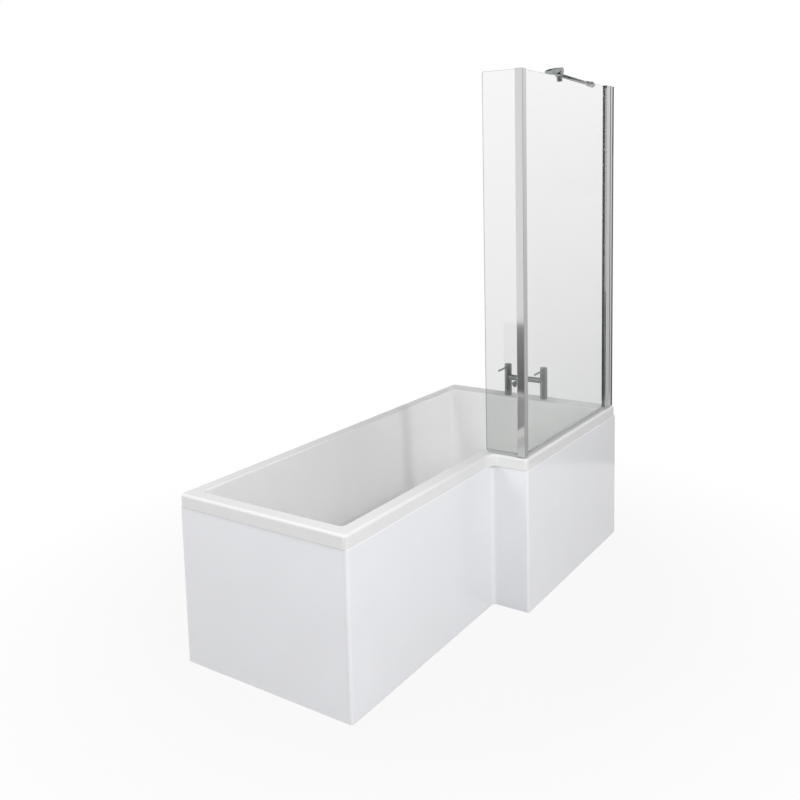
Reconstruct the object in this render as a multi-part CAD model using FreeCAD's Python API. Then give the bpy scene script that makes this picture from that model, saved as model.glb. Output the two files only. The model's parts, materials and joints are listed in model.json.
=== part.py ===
import FreeCAD, Part
import math
import os
from FreeCAD import Placement, Rotation, Vector

# L-shaped shower bath with panels, deck taps and a hinged glass screen, in millimetres.
# X runs along the bath from the foot end (-X) to the tap end (+X), the front is at -Y,
# Z is up, and the origin is on the floor under the middle of the overall box.

# Overall bath
LENGTH = 1700.0
WIDTH_NARROW = 700.0
WIDTH_WIDE = 850.0
SHOWER_LENGTH = 850.0
RIM_HEIGHT = 590.0

# Acrylic shell
SHELL = 5.0
RIM_SKIRT = 44.0
RIM_EDGE_RADIUS = 9.0
RIM_CORNER_RADIUS = 14.0
RIM_STEP_RADIUS = 40.0
RIM_FOOT = 52.0
RIM_SIDE = 54.0
RIM_TAP = 92.0
BASIN_DEPTH = 410.0
BASIN_LEAN_FOOT = 110.0
BASIN_LEAN_TAP = 40.0
BASIN_LEAN_SIDE = 35.0
BASIN_CORNER_TOP = 15.0
BASIN_CORNER_FLOOR = 72.0
BASIN_STEP_RADIUS = 56.0
BASIN_FLOOR_RADIUS = 50.0
BASIN_EDGE_RADIUS = 6.0
# Most of the step's depth that its two corner radii take, and of a floor corner that the floor's fillet takes
STEP_FILL = 0.95
FLOOR_FILL = 0.7

# Base board, rim rails and wall brackets
BOARD_THICK = 18.0
BOARD_INSET = 40.0
BOARD_CORNER = 45.0
RAIL_WIDTH = 28.0
RAIL_THICK = 18.0
RAIL_GAP = 2.0
BRACKET_WIDTH = 40.0
BRACKET_STEEL = 3.0
BRACKET_DROP = 70.0
BRACKET_SPACING = 1000.0
BRACKET_HOLE_R = 3.5

# Legs
LEG_WIDTH = 40.0
LEG_DEPTH = 25.0
LEG_STEEL = 2.5
LEG_REACH = 50.0
LEG_FOOT_IN = 88.0
LEG_STEP_OFF = 89.0
LEG_TAP_IN = 118.0
LEG_SCREW_R = 3.0
LEG_SCREW_BITE = 13.0
STUD_R = 6.0
STUD_END = 25.0
STUD_SPARE = 13.0
NUT_FLATS = 19.0
NUT_THICK = 8.0
PAD_R = 22.0
PAD_THICK = 12.0
PAD_SOCKET = 6.0

# Panels
PANEL = 4.0
PANEL_PROUD = 2.0
PANEL_INSET = 3.0
PANEL_FLOOR_GAP = 1.0
PANEL_RIM_GAP = 0.5
PANEL_CORNER = 9.0
PANEL_STEP_RADIUS = 14.0
PANEL_RETURN = 4.0
PANEL_EDGE = 2.5
PANEL_SEAM = 0.4
BATTEN = 30.0
STEP_BATTEN = 60.0
CLIP_WIDTH = 30.0
CLIP_STEEL = 1.5
CLIP_JOG = 4.0
CLIP_LEG = 40.0

# Waste, overflow and trap
WASTE_FROM_FOOT = 450.0
WASTE_HOLE_R = 26.0
FLANGE_R = 35.0
FLANGE_THICK = 2.5
THROAT_R = 25.5
THROAT_WALL = 3.0
THROAT_DROP = 40.0
SEAL_TOP = 1.5
SEAL_UNDER = 3.0
PLUG_R = 29.0
PLUG_THICK = 6.0
PLUG_STEM_R = 5.0
PLUG_STEM = 45.0
PLUG_SEAL_R = 2.0
PLUG_CLEAR = 0.3
WASTE_BODY_R = 38.0
WASTE_WINDOW_GAP = 10.0
WASTE_BODY_WALL = 4.0
WASTE_BODY_DEPTH = 56.0
WASTE_TAIL_R = 23.8
WASTE_TAIL_BORE = 20.0
WASTE_TAIL = 28.0
TRAP_R = 34.0
TRAP_WALL = 3.0
TRAP_DEPTH = 58.0
TRAP_PIPE_R = 20.0
TRAP_PIPE_REACH = 95.0
TRAP_PIPE_FREE = 50.0
TRAP_BOSS = 2.0
TRAP_NUT_R = 31.0
TRAP_NUT = 16.0
OVERFLOW_DROP = 90.0
OVERFLOW_ROSE_R = 36.0
OVERFLOW_ROSE = 3.0
OVERFLOW_DIAL_R = 30.0
OVERFLOW_DIAL = 13.0
OVERFLOW_GRIP = 12.0
OVERFLOW_STEM_R = 8.0
OVERFLOW_CLEAR = 0.3
OVERFLOW_BODY_R = 31.0
OVERFLOW_BODY = 28.0
HOSE_R = 14.5
HOSE_WALL = 2.1
HOSE_BEND = 60.0
HOSE_TOP_GAP = 5.0
SPIGOT = 32.0

# Deck taps
TAP_SPACING = 180.0
TAP_IN_FROM_END = 44.0
TAP_HOLE_R = 14.5
PILLAR_R = 17.0
PILLAR_HEIGHT = 118.0
PILLAR_BORE = 12.5
PILLAR_WASHER = 1.5
HEAD_HEIGHT = 26.0
HEAD_GAP = 0.5
HEAD_EDGE = 2.5
SPINDLE_R = 5.0
SPINDLE = 15.0
CARTRIDGE = 20.0
BRIDGE_R = 13.0
BRIDGE_BORE = 9.0
BRIDGE_HEIGHT = 83.0
SPOUT_R = 11.0
SPOUT_BORE = 8.5
SPOUT_REACH = 102.0
SPOUT_TIP = 12.0
SPOUT_EDGE = 3.0
AERATOR_R = 7.5
AERATOR = 4.0
AERATOR_LIP = 1.5
LEVER_R = 4.5
LEVER_REACH = 92.0
LEVER_ROOT = 9.0
LEVER_UP = 12.0
LEVER_FALL = 2.0
TAIL_R = 13.2
TAIL_END_R = 13.0
TAIL_BORE = 9.0
TAIL_BELOW = 60.0
TAIL_INTO = 18.0
TAIL_NUT_FLATS = 36.0
TAIL_NUT = 9.0

# Glass screen
SCREEN_HEIGHT = 1386.0
SCREEN_ABOVE_RIM = 6.0
SCREEN_SETBACK = 10.0
GLASS = 6.0
GLASS_LIFT = 1.0
GASKET = 1.5
PROFILE_DEPTH = 24.0
HINGE_PROFILE_WIDTH = 34.0
HINGE_SLOT = 16.0
PROFILE_WALL = 1.7
WALL_PROFILE_WIDTH = 48.5
WALL_PROFILE_WALL = 2.5
BEAD_R = 4.0
BEAD_CLEAR = 0.3
SOCKET_WALL = 2.2
SOCKET_OPEN_FROM = 160.0
SOCKET_OPEN_TO = 290.0
NECK = 2.0
HINGE_GAP = 1.8
WALL_HOLE_R = 3.0
WALL_HOLE_OUTER = 1200.0
WALL_HOLE_INNER = 400.0
CAP = 2.0
POST_WIDTH = 28.0
POST_DEPTH = 31.0
POST_SLOT = 9.0
RETURN_REACH = 167.0
RETURN_PLANE = 12.0
RETURN_CORNER = 8.0
SEAL_WIDTH = 10.0
SEAL_GRIP = 5.0
SEAL_CLEAR = 0.5

# Support arm
CLAMP_FROM_WALL = 533.0
CLAMP_R = 12.5
CLAMP_RISE = 20.0
CLAMP_OUTSIDE = 17.0
CLAMP_INSIDE = 22.0
NOSE_R = 11.3
NOSE_LENGTH = 37.0
NOSE_TIP_R = 2.0
NOSE_BULGE = 1.6
CLAMP_GRIP = 19.0
CLAMP_PAD = 0.8
PEG_R = 5.5
JAW_WIDTH = 16.0
JAW_THICK = 3.2
PIVOT_R = 4.0
PIVOT_CLEAR = 0.1
PIVOT_INSIDE = 16.0
EYE_CLEAR = 1.2
PIVOT_CAP_R = 7.0
PIVOT_CAP = 5.0
LUG = 5.0
LUG_WIDTH = 10.0
LUG_CLEAR = 0.4
ARM_R = 8.0
ARM_EYE_R = 9.8
ARM_RISE = 10.0
COLLAR_R = 11.5
COLLAR_LENGTH = 14.0
COLLAR_GAP = 3.0
COLLAR_EDGE = 1.6
KNUCKLE_FROM_WALL = 30.0
KNUCKLE_FRONT = 10.0
KNUCKLE_PIN_R = 2.5
TONGUE_R = 5.4
TONGUE_THICK = 5.4
TONGUE_CLEAR = 0.3
ROSE_INSIDE = 94.0
ROSE_RISE = 8.5
ROSE_R = 13.0
ROSE_THICK = 9.0
ROSE_SCREW_R = 2.5
ROSE_SCREW = 7.0

# Fit between pieces of one body that slide together when they are put together
FIT = 0.1

# Places worked out from the sizes above
X_FOOT = -LENGTH / 2
X_TAP = LENGTH / 2
X_STEP = X_TAP - SHOWER_LENGTH
Y_BACK = WIDTH_WIDE / 2
Y_WIDE = -WIDTH_WIDE / 2
Y_NARROW = Y_BACK - WIDTH_NARROW
FLOOR_Z = RIM_HEIGHT - BASIN_DEPTH
UNDER_Z = FLOOR_Z - SHELL
BOARD_Z = UNDER_Z - BOARD_THICK
SKIRT_Z = RIM_HEIGHT - RIM_SKIRT
DECK_Z = RIM_HEIGHT - SHELL
RAIL_Z = DECK_Z - RAIL_THICK

X_DIR = Vector(1, 0, 0)
Y_DIR = Vector(0, 1, 0)
Z_DIR = Vector(0, 0, 1)

# Which way each side of the outline moves when the outline shrinks
INWARD = dict(foot=1, step=1, tap=-1, wide=1, narrow=1, back=-1)

RIM_SIDES = dict(
    foot=X_FOOT,
    step=X_STEP,
    tap=X_TAP,
    wide=Y_WIDE + PANEL_PROUD,
    narrow=Y_NARROW + PANEL_PROUD,
    back=Y_BACK,
)


def moved(sides, amounts):
    return {name: sides[name] + INWARD[name] * amounts[name] for name in sides}


def inset(sides, amount):
    return moved(sides, dict.fromkeys(sides, amount))


BASIN_TOP = moved(
    RIM_SIDES,
    dict(foot=RIM_FOOT, step=RIM_SIDE, tap=RIM_TAP, wide=RIM_SIDE, narrow=RIM_SIDE, back=RIM_SIDE),
)
BASIN_LEAN = dict.fromkeys(BASIN_TOP, BASIN_LEAN_SIDE)
BASIN_LEAN["foot"] = BASIN_LEAN_FOOT
BASIN_LEAN["tap"] = BASIN_LEAN_TAP
BASIN_FLOOR = moved(BASIN_TOP, BASIN_LEAN)
BOARD_SIDES = inset(BASIN_FLOOR, BOARD_INSET)
WASTE_X = X_FOOT + WASTE_FROM_FOOT
WASTE_Y = (BASIN_TOP["narrow"] + BASIN_TOP["back"]) / 2


# Shape helpers


def box(x0, x1, y0, y1, z0, z1):
    return Part.makeBox(x1 - x0, y1 - y0, z1 - z0, Vector(x0, y0, z0))


def rod(radius, start, direction, length):
    return Part.makeCylinder(radius, length, start, direction)


def ring(outer, inner, start, direction, length):
    return rod(outer, start, direction, length).cut(rod(inner, start, direction, length))


def rounded_wire(points, radii, z):
    """Closed wire through plan points, with an arc of the given radius at each corner."""
    starts = []
    middles = []
    ends = []
    for index, (point, radius) in enumerate(zip(points, radii)):
        here = Vector(point[0], point[1], z)
        before = Vector(*points[index - 1], z) - here
        after = Vector(*points[(index + 1) % len(points)], z) - here
        before.normalize()
        after.normalize()
        half = before.getAngle(after) / 2
        bisector = before + after
        bisector.normalize()
        reach = radius / math.tan(half)
        starts.append(here + before * reach)
        ends.append(here + after * reach)
        middles.append(here + bisector * (radius / math.sin(half) - radius))
    edges = []
    for index, radius in enumerate(radii):
        if radius > 0:
            edges.append(Part.Arc(starts[index], middles[index], ends[index]).toShape())
        edges.append(Part.makeLine(ends[index], starts[(index + 1) % len(points)]))
    return Part.Wire(edges)


def step_share(sides, convex, reflex):
    """Share of their radii that the two corners of the step have room for."""
    return min(1, STEP_FILL * (sides["narrow"] - sides["wide"]) / (convex + reflex))


def l_wire(sides, convex, reflex, z):
    share = step_share(sides, convex, reflex)
    points = [
        (sides["foot"], sides["back"]),
        (sides["foot"], sides["narrow"]),
        (sides["step"], sides["narrow"]),
        (sides["step"], sides["wide"]),
        (sides["tap"], sides["wide"]),
        (sides["tap"], sides["back"]),
    ]
    return rounded_wire(points, [convex, convex, share * reflex, share * convex, convex, convex], z)


def prism(wire, height):
    return Part.Face(wire).extrude(Vector(0, 0, height))


def edges_at(shape, z):
    return [edge for edge in shape.Edges if all(abs(v.Z - z) < 1e-4 for v in edge.Vertexes)]


def hexagon(flats, bore, x, y, z0, z1):
    corner = flats / math.sqrt(3)
    turns = [math.radians(60 * step) for step in range(6)]
    points = [(x + corner * math.cos(turn), y + corner * math.sin(turn)) for turn in turns]
    body = prism(rounded_wire(points, [0] * 6, z0), z1 - z0)
    return body.cut(rod(bore, Vector(x, y, z0), Z_DIR, z1 - z0))


def pipe(path, radius, start, direction):
    profile = Part.Wire(Part.makeCircle(radius, start, direction))
    return path.makePipeShell([profile], True, False)


NODES = {}


def keep(name, *shapes):
    NODES[name] = shapes[0] if len(shapes) == 1 else Part.makeCompound(list(shapes))


# Acrylic shell


def basin(grow):
    """The tub's inside, or its outside when it is grown by the shell."""
    top = l_wire(
        inset(BASIN_TOP, -grow), BASIN_CORNER_TOP + grow, BASIN_STEP_RADIUS - grow, RIM_HEIGHT
    )
    floor_z = FLOOR_Z - grow
    lowered = {name: lean * grow / BASIN_DEPTH - grow for name, lean in BASIN_LEAN.items()}
    sides = moved(BASIN_FLOOR, lowered)
    convex = BASIN_CORNER_FLOOR + grow
    reflex = BASIN_STEP_RADIUS - grow
    tub = Part.makeLoft([top, l_wire(sides, convex, reflex, floor_z)], True, True)
    room = FLOOR_FILL * convex * step_share(sides, convex, reflex)
    return tub.makeFillet(min(BASIN_FLOOR_RADIUS + grow, room), edges_at(tub, floor_z))


def rim():
    outside = prism(l_wire(RIM_SIDES, RIM_CORNER_RADIUS, RIM_STEP_RADIUS, SKIRT_Z), RIM_SKIRT)
    outside = outside.makeFillet(RIM_EDGE_RADIUS, edges_at(outside, RIM_HEIGHT))
    under = l_wire(
        inset(RIM_SIDES, SHELL), RIM_CORNER_RADIUS - SHELL, RIM_STEP_RADIUS + SHELL, SKIRT_Z
    )
    return outside.cut(prism(under, RIM_SKIRT - SHELL))


WALL_LEAN = math.atan2(BASIN_LEAN_SIDE, BASIN_DEPTH)
OVERFLOW_Z = RIM_HEIGHT - OVERFLOW_DROP
OVERFLOW_Y = BASIN_TOP["narrow"] + BASIN_LEAN_SIDE * OVERFLOW_DROP / BASIN_DEPTH
# On the front wall's inside face, with its own Z pointing square into the basin
OVERFLOW_SEAT = Placement(
    Vector(WASTE_X, OVERFLOW_Y, OVERFLOW_Z), Rotation(X_DIR, math.degrees(WALL_LEAN) - 90)
)


def seated(shape):
    shape.Placement = OVERFLOW_SEAT.multiply(shape.Placement)
    return shape


TAP_X = X_TAP - TAP_IN_FROM_END
TAP_SIDES = (TAP_SPACING / 2, -TAP_SPACING / 2)


def bath_shell():
    shell = rim().fuse(basin(SHELL)).removeSplitter().cut(basin(0))
    deck = max(
        (face for face in shell.Faces if abs(face.BoundBox.ZMin - RIM_HEIGHT) < 1e-4),
        key=lambda face: face.Area,
    )
    mouth = min(deck.Wires, key=lambda wire: wire.BoundBox.XLength)
    shell = shell.makeFillet(BASIN_EDGE_RADIUS, mouth.Edges)
    through = 4 * SHELL
    for y in TAP_SIDES:
        hole = rod(TAP_HOLE_R, Vector(TAP_X, y, RIM_HEIGHT + SHELL), -Z_DIR, through)
        shell = shell.cut(hole)
    shell = shell.cut(rod(WASTE_HOLE_R, Vector(WASTE_X, WASTE_Y, FLOOR_Z + SHELL), -Z_DIR, through))
    return shell.cut(seated(rod(WASTE_HOLE_R, Vector(0, 0, SHELL), -Z_DIR, through)))


keep("bath_shell", bath_shell())


# Base board, legs and feet

LEG_Z = BOARD_Z - LEG_DEPTH
LEG_WEB_Z = BOARD_Z - LEG_STEEL
WASTE_WINDOW_R = WASTE_BODY_R + WASTE_WINDOW_GAP


def leg_front(x):
    wide = x > BOARD_SIDES["step"]
    return BOARD_SIDES["wide" if wide else "narrow"]


def leg_feet(x):
    return (leg_front(x) - LEG_REACH + STUD_END, BOARD_SIDES["back"] + LEG_REACH - STUD_END)


def leg_screw_places(x):
    return (leg_front(x) + LEG_WIDTH, BOARD_SIDES["back"] - LEG_WIDTH)


def leg_bar(x):
    half = LEG_WIDTH / 2
    y0 = leg_front(x) - LEG_REACH
    y1 = BOARD_SIDES["back"] + LEG_REACH
    bar = box(x - half, x + half, y0, y1, LEG_Z, BOARD_Z)
    bar = bar.cut(box(x - half + LEG_STEEL, x + half - LEG_STEEL, y0, y1, LEG_Z, LEG_WEB_Z))
    for y in leg_feet(x):
        bar = bar.cut(rod(STUD_R + FIT, Vector(x, y, LEG_Z), Z_DIR, LEG_DEPTH))
    for y in leg_screw_places(x):
        bar = bar.cut(rod(LEG_SCREW_R + FIT, Vector(x, y, LEG_Z), Z_DIR, LEG_DEPTH))
    return bar


def leg_screw(x, y):
    head = rod(2 * LEG_SCREW_R, Vector(x, y, LEG_WEB_Z), -Z_DIR, LEG_SCREW_R)
    shank = rod(LEG_SCREW_R, Vector(x, y, LEG_WEB_Z), Z_DIR, LEG_STEEL + LEG_SCREW_BITE)
    return head.fuse(shank)


LEG_XS = (
    BOARD_SIDES["foot"] + LEG_FOOT_IN,
    BOARD_SIDES["step"] - LEG_STEP_OFF,
    BOARD_SIDES["tap"] - LEG_TAP_IN,
)
FEET = [(x, y) for x in LEG_XS for y in leg_feet(x)]
LEG_SCREWS = [(x, y) for x in LEG_XS for y in leg_screw_places(x)]


def base_board():
    board = prism(l_wire(BOARD_SIDES, BOARD_CORNER, BOARD_CORNER, BOARD_Z), BOARD_THICK)
    board = board.cut(rod(WASTE_WINDOW_R, Vector(WASTE_X, WASTE_Y, BOARD_Z), Z_DIR, BOARD_THICK))
    for x, y in LEG_SCREWS:
        board = board.cut(rod(LEG_SCREW_R + FIT, Vector(x, y, BOARD_Z), Z_DIR, LEG_SCREW_BITE))
    return board


def foot_pad(x, y):
    pad = Part.makeCone(PAD_R, PAD_R - PAD_THICK / 2, PAD_THICK, Vector(x, y, 0))
    return pad.cut(rod(STUD_R + FIT, Vector(x, y, PAD_SOCKET), Z_DIR, PAD_THICK))


def foot_stud(x, y):
    top = BOARD_Z + STUD_SPARE
    return rod(STUD_R, Vector(x, y, PAD_SOCKET), Z_DIR, top - PAD_SOCKET)


def foot_nuts(x, y):
    under = hexagon(NUT_FLATS, STUD_R + FIT, x, y, LEG_WEB_Z - NUT_THICK, LEG_WEB_Z)
    over = hexagon(NUT_FLATS, STUD_R + FIT, x, y, BOARD_Z, BOARD_Z + NUT_THICK)
    return [under, over]


keep("base_board", base_board())
keep("leg_bars", *[leg_bar(x) for x in LEG_XS])
keep("leg_screws", *[leg_screw(x, y) for x, y in LEG_SCREWS])
keep("foot_pads", *[foot_pad(x, y) for x, y in FEET])
keep("foot_studs", *[foot_stud(x, y) for x, y in FEET])
keep("foot_nuts", *[nut for x, y in FEET for nut in foot_nuts(x, y)])


# Timber rails under the rim, and the brackets that tie them to the long wall

RAIL_OUT = inset(RIM_SIDES, SHELL + RAIL_GAP)
RAIL_IN = inset(RAIL_OUT, RAIL_WIDTH)
RAIL_END = RAIL_WIDTH + 2 * SHELL
TAP_KEEP = TAP_SPACING / 2 + TAIL_NUT_FLATS


def rail(x0, x1, y0, y1):
    return box(x0, x1, y0, y1, RAIL_Z, DECK_Z)


def rim_rails():
    foot_x = RAIL_IN["foot"] + RAIL_END
    tap_x = RAIL_IN["tap"] - RAIL_END
    return [
        rail(foot_x, tap_x, RAIL_IN["back"], RAIL_OUT["back"]),
        rail(foot_x, RAIL_OUT["step"] - RAIL_END, RAIL_OUT["narrow"], RAIL_IN["narrow"]),
        rail(RAIL_IN["step"] + RAIL_END, tap_x, RAIL_OUT["wide"], RAIL_IN["wide"]),
        rail(RAIL_OUT["foot"], RAIL_IN["foot"], RAIL_IN["narrow"], RAIL_IN["back"]),
        rail(RAIL_IN["tap"], RAIL_OUT["tap"], RAIL_IN["wide"], -TAP_KEEP),
        rail(RAIL_IN["tap"], RAIL_OUT["tap"], TAP_KEEP, RAIL_IN["back"]),
    ]


def wall_bracket(x):
    """Bent strap: under the rail, down past the skirt, out to the wall and down to its screw hole."""
    x0 = x - BRACKET_WIDTH / 2
    x1 = x + BRACKET_WIDTH / 2
    under_y = RAIL_OUT["back"]
    jog_z = SKIRT_Z - 4 * BRACKET_STEEL
    low_z = SKIRT_Z - BRACKET_DROP
    strap = box(x0, x1, RAIL_IN["back"], under_y, RAIL_Z - BRACKET_STEEL, RAIL_Z)
    strap = strap.fuse(box(x0, x1, under_y - BRACKET_STEEL, under_y, jog_z, RAIL_Z))
    strap = strap.fuse(box(x0, x1, under_y - BRACKET_STEEL, Y_BACK, jog_z, jog_z + BRACKET_STEEL))
    strap = strap.fuse(box(x0, x1, Y_BACK - BRACKET_STEEL, Y_BACK, low_z, jog_z + BRACKET_STEEL))
    hole = rod(BRACKET_HOLE_R, Vector(x, Y_BACK, (low_z + jog_z) / 2), -Y_DIR, BRACKET_STEEL)
    return strap.removeSplitter().cut(hole)


keep("rim_rails", *rim_rails())
keep("wall_brackets", *[wall_bracket(x) for x in (-BRACKET_SPACING / 2, BRACKET_SPACING / 2)])


# Front and end panels with their clips and floor battens

PANEL_TOP = SKIRT_Z - PANEL_RIM_GAP
PANEL_OUT = dict(
    foot=X_FOOT + PANEL_INSET, step=X_STEP + PANEL_INSET, tap=X_TAP, wide=Y_WIDE, narrow=Y_NARROW, back=Y_BACK
)
PANEL_IN = inset(PANEL_OUT, PANEL)
RETURN_Y = Y_NARROW + PANEL_CORNER + PANEL_RETURN


def front_panel():
    points = [
        (PANEL_OUT["foot"], RETURN_Y),
        (PANEL_OUT["foot"], PANEL_OUT["narrow"]),
        (PANEL_OUT["step"], PANEL_OUT["narrow"]),
        (PANEL_OUT["step"], PANEL_OUT["wide"]),
        (PANEL_OUT["tap"], PANEL_OUT["wide"]),
        (PANEL_OUT["tap"], PANEL_IN["wide"]),
        (PANEL_IN["step"], PANEL_IN["wide"]),
        (PANEL_IN["step"], PANEL_IN["narrow"]),
        (PANEL_IN["foot"], PANEL_IN["narrow"]),
        (PANEL_IN["foot"], RETURN_Y),
    ]
    inner_corner = PANEL_CORNER - PANEL
    inner_step = PANEL_STEP_RADIUS + PANEL
    radii = [0, PANEL_CORNER, PANEL_STEP_RADIUS, PANEL_CORNER, 0]
    radii += [0, inner_corner, inner_step, inner_corner, 0]
    sheet = prism(rounded_wire(points, radii, PANEL_FLOOR_GAP), PANEL_TOP - PANEL_FLOOR_GAP)
    front = (PANEL_OUT["narrow"], PANEL_OUT["wide"])
    edges = [
        edge
        for edge in edges_at(sheet, PANEL_TOP)
        if all(min(abs(v.Y - y) for y in front) < 1e-4 for v in edge.Vertexes)
        and edge.BoundBox.XLength > 2 * PANEL_CORNER
    ]
    return sheet.makeFillet(PANEL_EDGE, edges)


def end_panel():
    y0 = RETURN_Y + PANEL_SEAM
    sheet = box(PANEL_OUT["foot"], PANEL_IN["foot"], y0, Y_BACK, PANEL_FLOOR_GAP, PANEL_TOP)
    outer = [
        edge
        for edge in sheet.Edges
        if edge.BoundBox.ZLength > PANEL_TOP / 2
        and abs(edge.BoundBox.XMin - PANEL_OUT["foot"]) < 1e-4
        and edge.BoundBox.YMin > 0
    ]
    return sheet.makeFillet(PANEL_EDGE, outer)


def panel_clip(x, y, jog, turn):
    """Bent clip under a rail, whose leg passes inside the skirt and backs the panel's top edge."""
    half = CLIP_WIDTH / 2
    jog_z = SKIRT_Z - CLIP_JOG
    clip = box(-half, half, 0, RAIL_WIDTH, RAIL_Z - CLIP_STEEL, RAIL_Z)
    clip = clip.fuse(box(-half, half, 0, CLIP_STEEL, jog_z, RAIL_Z))
    clip = clip.fuse(box(-half, half, -jog, CLIP_STEEL, jog_z - CLIP_STEEL, jog_z))
    clip = clip.fuse(box(-half, half, -jog, CLIP_STEEL - jog, jog_z - CLIP_LEG, jog_z))
    clip = clip.removeSplitter()
    clip.Placement = Placement(Vector(x, y, 0), Rotation(Z_DIR, turn))
    return clip


def panel_clips():
    narrow_third = (X_STEP - X_FOOT) / 3
    wide_third = SHOWER_LENGTH / 3
    end_third = WIDTH_NARROW / 3
    front_jog = RAIL_OUT["narrow"] - PANEL_IN["narrow"]
    foot_jog = RAIL_OUT["foot"] - PANEL_IN["foot"]
    clips = []
    for step in (1, 2):
        clips.append(panel_clip(X_FOOT + step * narrow_third, RAIL_OUT["narrow"], front_jog, 0))
        clips.append(panel_clip(X_STEP + step * wide_third, RAIL_OUT["wide"], front_jog, 0))
        clips.append(panel_clip(RAIL_OUT["foot"], Y_NARROW + step * end_third, foot_jog, -90))
    return clips


def panel_battens():
    foot = PANEL_IN["foot"]
    step = PANEL_IN["step"]
    narrow = PANEL_IN["narrow"]
    wide = PANEL_IN["wide"]
    middle = (wide + narrow) / 2
    return [
        box(foot + 2 * BATTEN, step - 2 * BATTEN, narrow, narrow + BATTEN, 0, BATTEN),
        box(step + 2 * BATTEN, X_TAP - BATTEN, wide, wide + BATTEN, 0, BATTEN),
        box(foot, foot + BATTEN, narrow + 2 * BATTEN, Y_BACK - BATTEN, 0, BATTEN),
        box(step, step + BATTEN, middle - STEP_BATTEN / 2, middle + STEP_BATTEN / 2, 0, BATTEN),
    ]


keep("front_panel", front_panel())
keep("end_panel", end_panel())
keep("panel_clips", *panel_clips())
keep("panel_battens", *panel_battens())


# Waste, plug and trap

FLANGE_Z = FLOOR_Z + SEAL_TOP
THROAT_BORE = THROAT_R - THROAT_WALL
SEAT_Z = FLANGE_Z + FLANGE_THICK
BODY_Z = UNDER_Z - SEAL_UNDER
BODY_FLOOR_Z = BODY_Z - WASTE_BODY_DEPTH
TAIL_Z = BODY_FLOOR_Z - WASTE_TAIL
SPIDER_Z = SEAT_Z - PLUG_STEM + PLUG_STEM_R
HOSE_BORE = HOSE_R - HOSE_WALL
SPIGOT_R = HOSE_BORE - FIT
SPIGOT_BORE = SPIGOT_R - HOSE_WALL
INLET_Z = BODY_FLOOR_Z + SPIGOT_R + WASTE_BODY_WALL
BODY_TUBE_R = THROAT_R + FIT + WASTE_BODY_WALL


def at_waste(z):
    return Vector(WASTE_X, WASTE_Y, z)


def waste_flange():
    throat_z = FLANGE_Z - THROAT_DROP
    flange = rod(FLANGE_R, at_waste(FLANGE_Z), Z_DIR, FLANGE_THICK)
    flange = flange.makeFillet(FLANGE_THICK / 2, edges_at(flange, SEAT_Z))
    flange = flange.fuse(rod(THROAT_R, at_waste(throat_z), Z_DIR, THROAT_DROP))
    flange = flange.cut(rod(THROAT_BORE, at_waste(throat_z), Z_DIR, 2 * THROAT_DROP))
    hub = rod(2 * PLUG_STEM_R, at_waste(SPIDER_Z), Z_DIR, PLUG_STEM_R)
    arm = PLUG_STEM_R / 2
    for turn in range(3):
        spoke = Part.makeBox(THROAT_R - THROAT_WALL / 2, 2 * arm, PLUG_STEM_R, Vector(0, -arm, 0))
        spoke.Placement = Placement(at_waste(SPIDER_Z), Rotation(Z_DIR, 120 * turn))
        hub = hub.fuse(spoke)
    bore = rod(PLUG_STEM_R + FIT, at_waste(SPIDER_Z), Z_DIR, PLUG_STEM_R)
    return flange.fuse(hub).cut(bore).removeSplitter()


def waste_seals():
    upper = ring(FLANGE_R - FLANGE_THICK, WASTE_HOLE_R, at_waste(FLOOR_Z), Z_DIR, SEAL_TOP)
    lower = ring(WASTE_BODY_R, WASTE_HOLE_R, at_waste(BODY_Z), Z_DIR, SEAL_UNDER)
    return [upper, lower]


def waste_plug():
    cap_z = SEAT_Z + PLUG_SEAL_R
    cap = rod(PLUG_R, at_waste(cap_z), Z_DIR, PLUG_THICK)
    cap = cap.makeFillet(PLUG_THICK / 2, edges_at(cap, cap_z + PLUG_THICK))
    return cap.fuse(rod(PLUG_STEM_R, at_waste(SEAT_Z - PLUG_STEM), Z_DIR, PLUG_STEM + PLUG_SEAL_R))


def plug_seal():
    """Lip ring under the plug, standing just clear of the flange that it seals on."""
    start = at_waste(SEAT_Z + PLUG_CLEAR)
    return ring(PLUG_R - PLUG_SEAL_R, THROAT_BORE, start, Z_DIR, PLUG_SEAL_R - PLUG_CLEAR)


def waste_body():
    collar = ring(WASTE_BODY_R, THROAT_R + FIT, at_waste(BODY_Z - WASTE_BODY_WALL), Z_DIR, WASTE_BODY_WALL)
    cup = rod(BODY_TUBE_R, at_waste(BODY_FLOOR_Z), Z_DIR, WASTE_BODY_DEPTH - WASTE_BODY_WALL)
    tail = rod(WASTE_TAIL_R, at_waste(TAIL_Z), Z_DIR, WASTE_TAIL)
    spigot = rod(SPIGOT_R, at_waste(INLET_Z), -Y_DIR, BODY_TUBE_R + SPIGOT)
    body = collar.fuse(cup).fuse(tail).fuse(spigot)
    body = body.cut(rod(THROAT_R + FIT, at_waste(BODY_FLOOR_Z + WASTE_BODY_WALL), Z_DIR, WASTE_BODY_DEPTH))
    body = body.cut(rod(WASTE_TAIL_BORE, at_waste(TAIL_Z), Z_DIR, WASTE_BODY_DEPTH))
    return body.cut(rod(SPIGOT_BORE, at_waste(INLET_Z), -Y_DIR, BODY_TUBE_R + SPIGOT)).removeSplitter()


def trap_nut():
    return hexagon(2 * TRAP_NUT_R, WASTE_TAIL_R + FIT, WASTE_X, WASTE_Y, TAIL_Z, TAIL_Z + TRAP_NUT)


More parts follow.
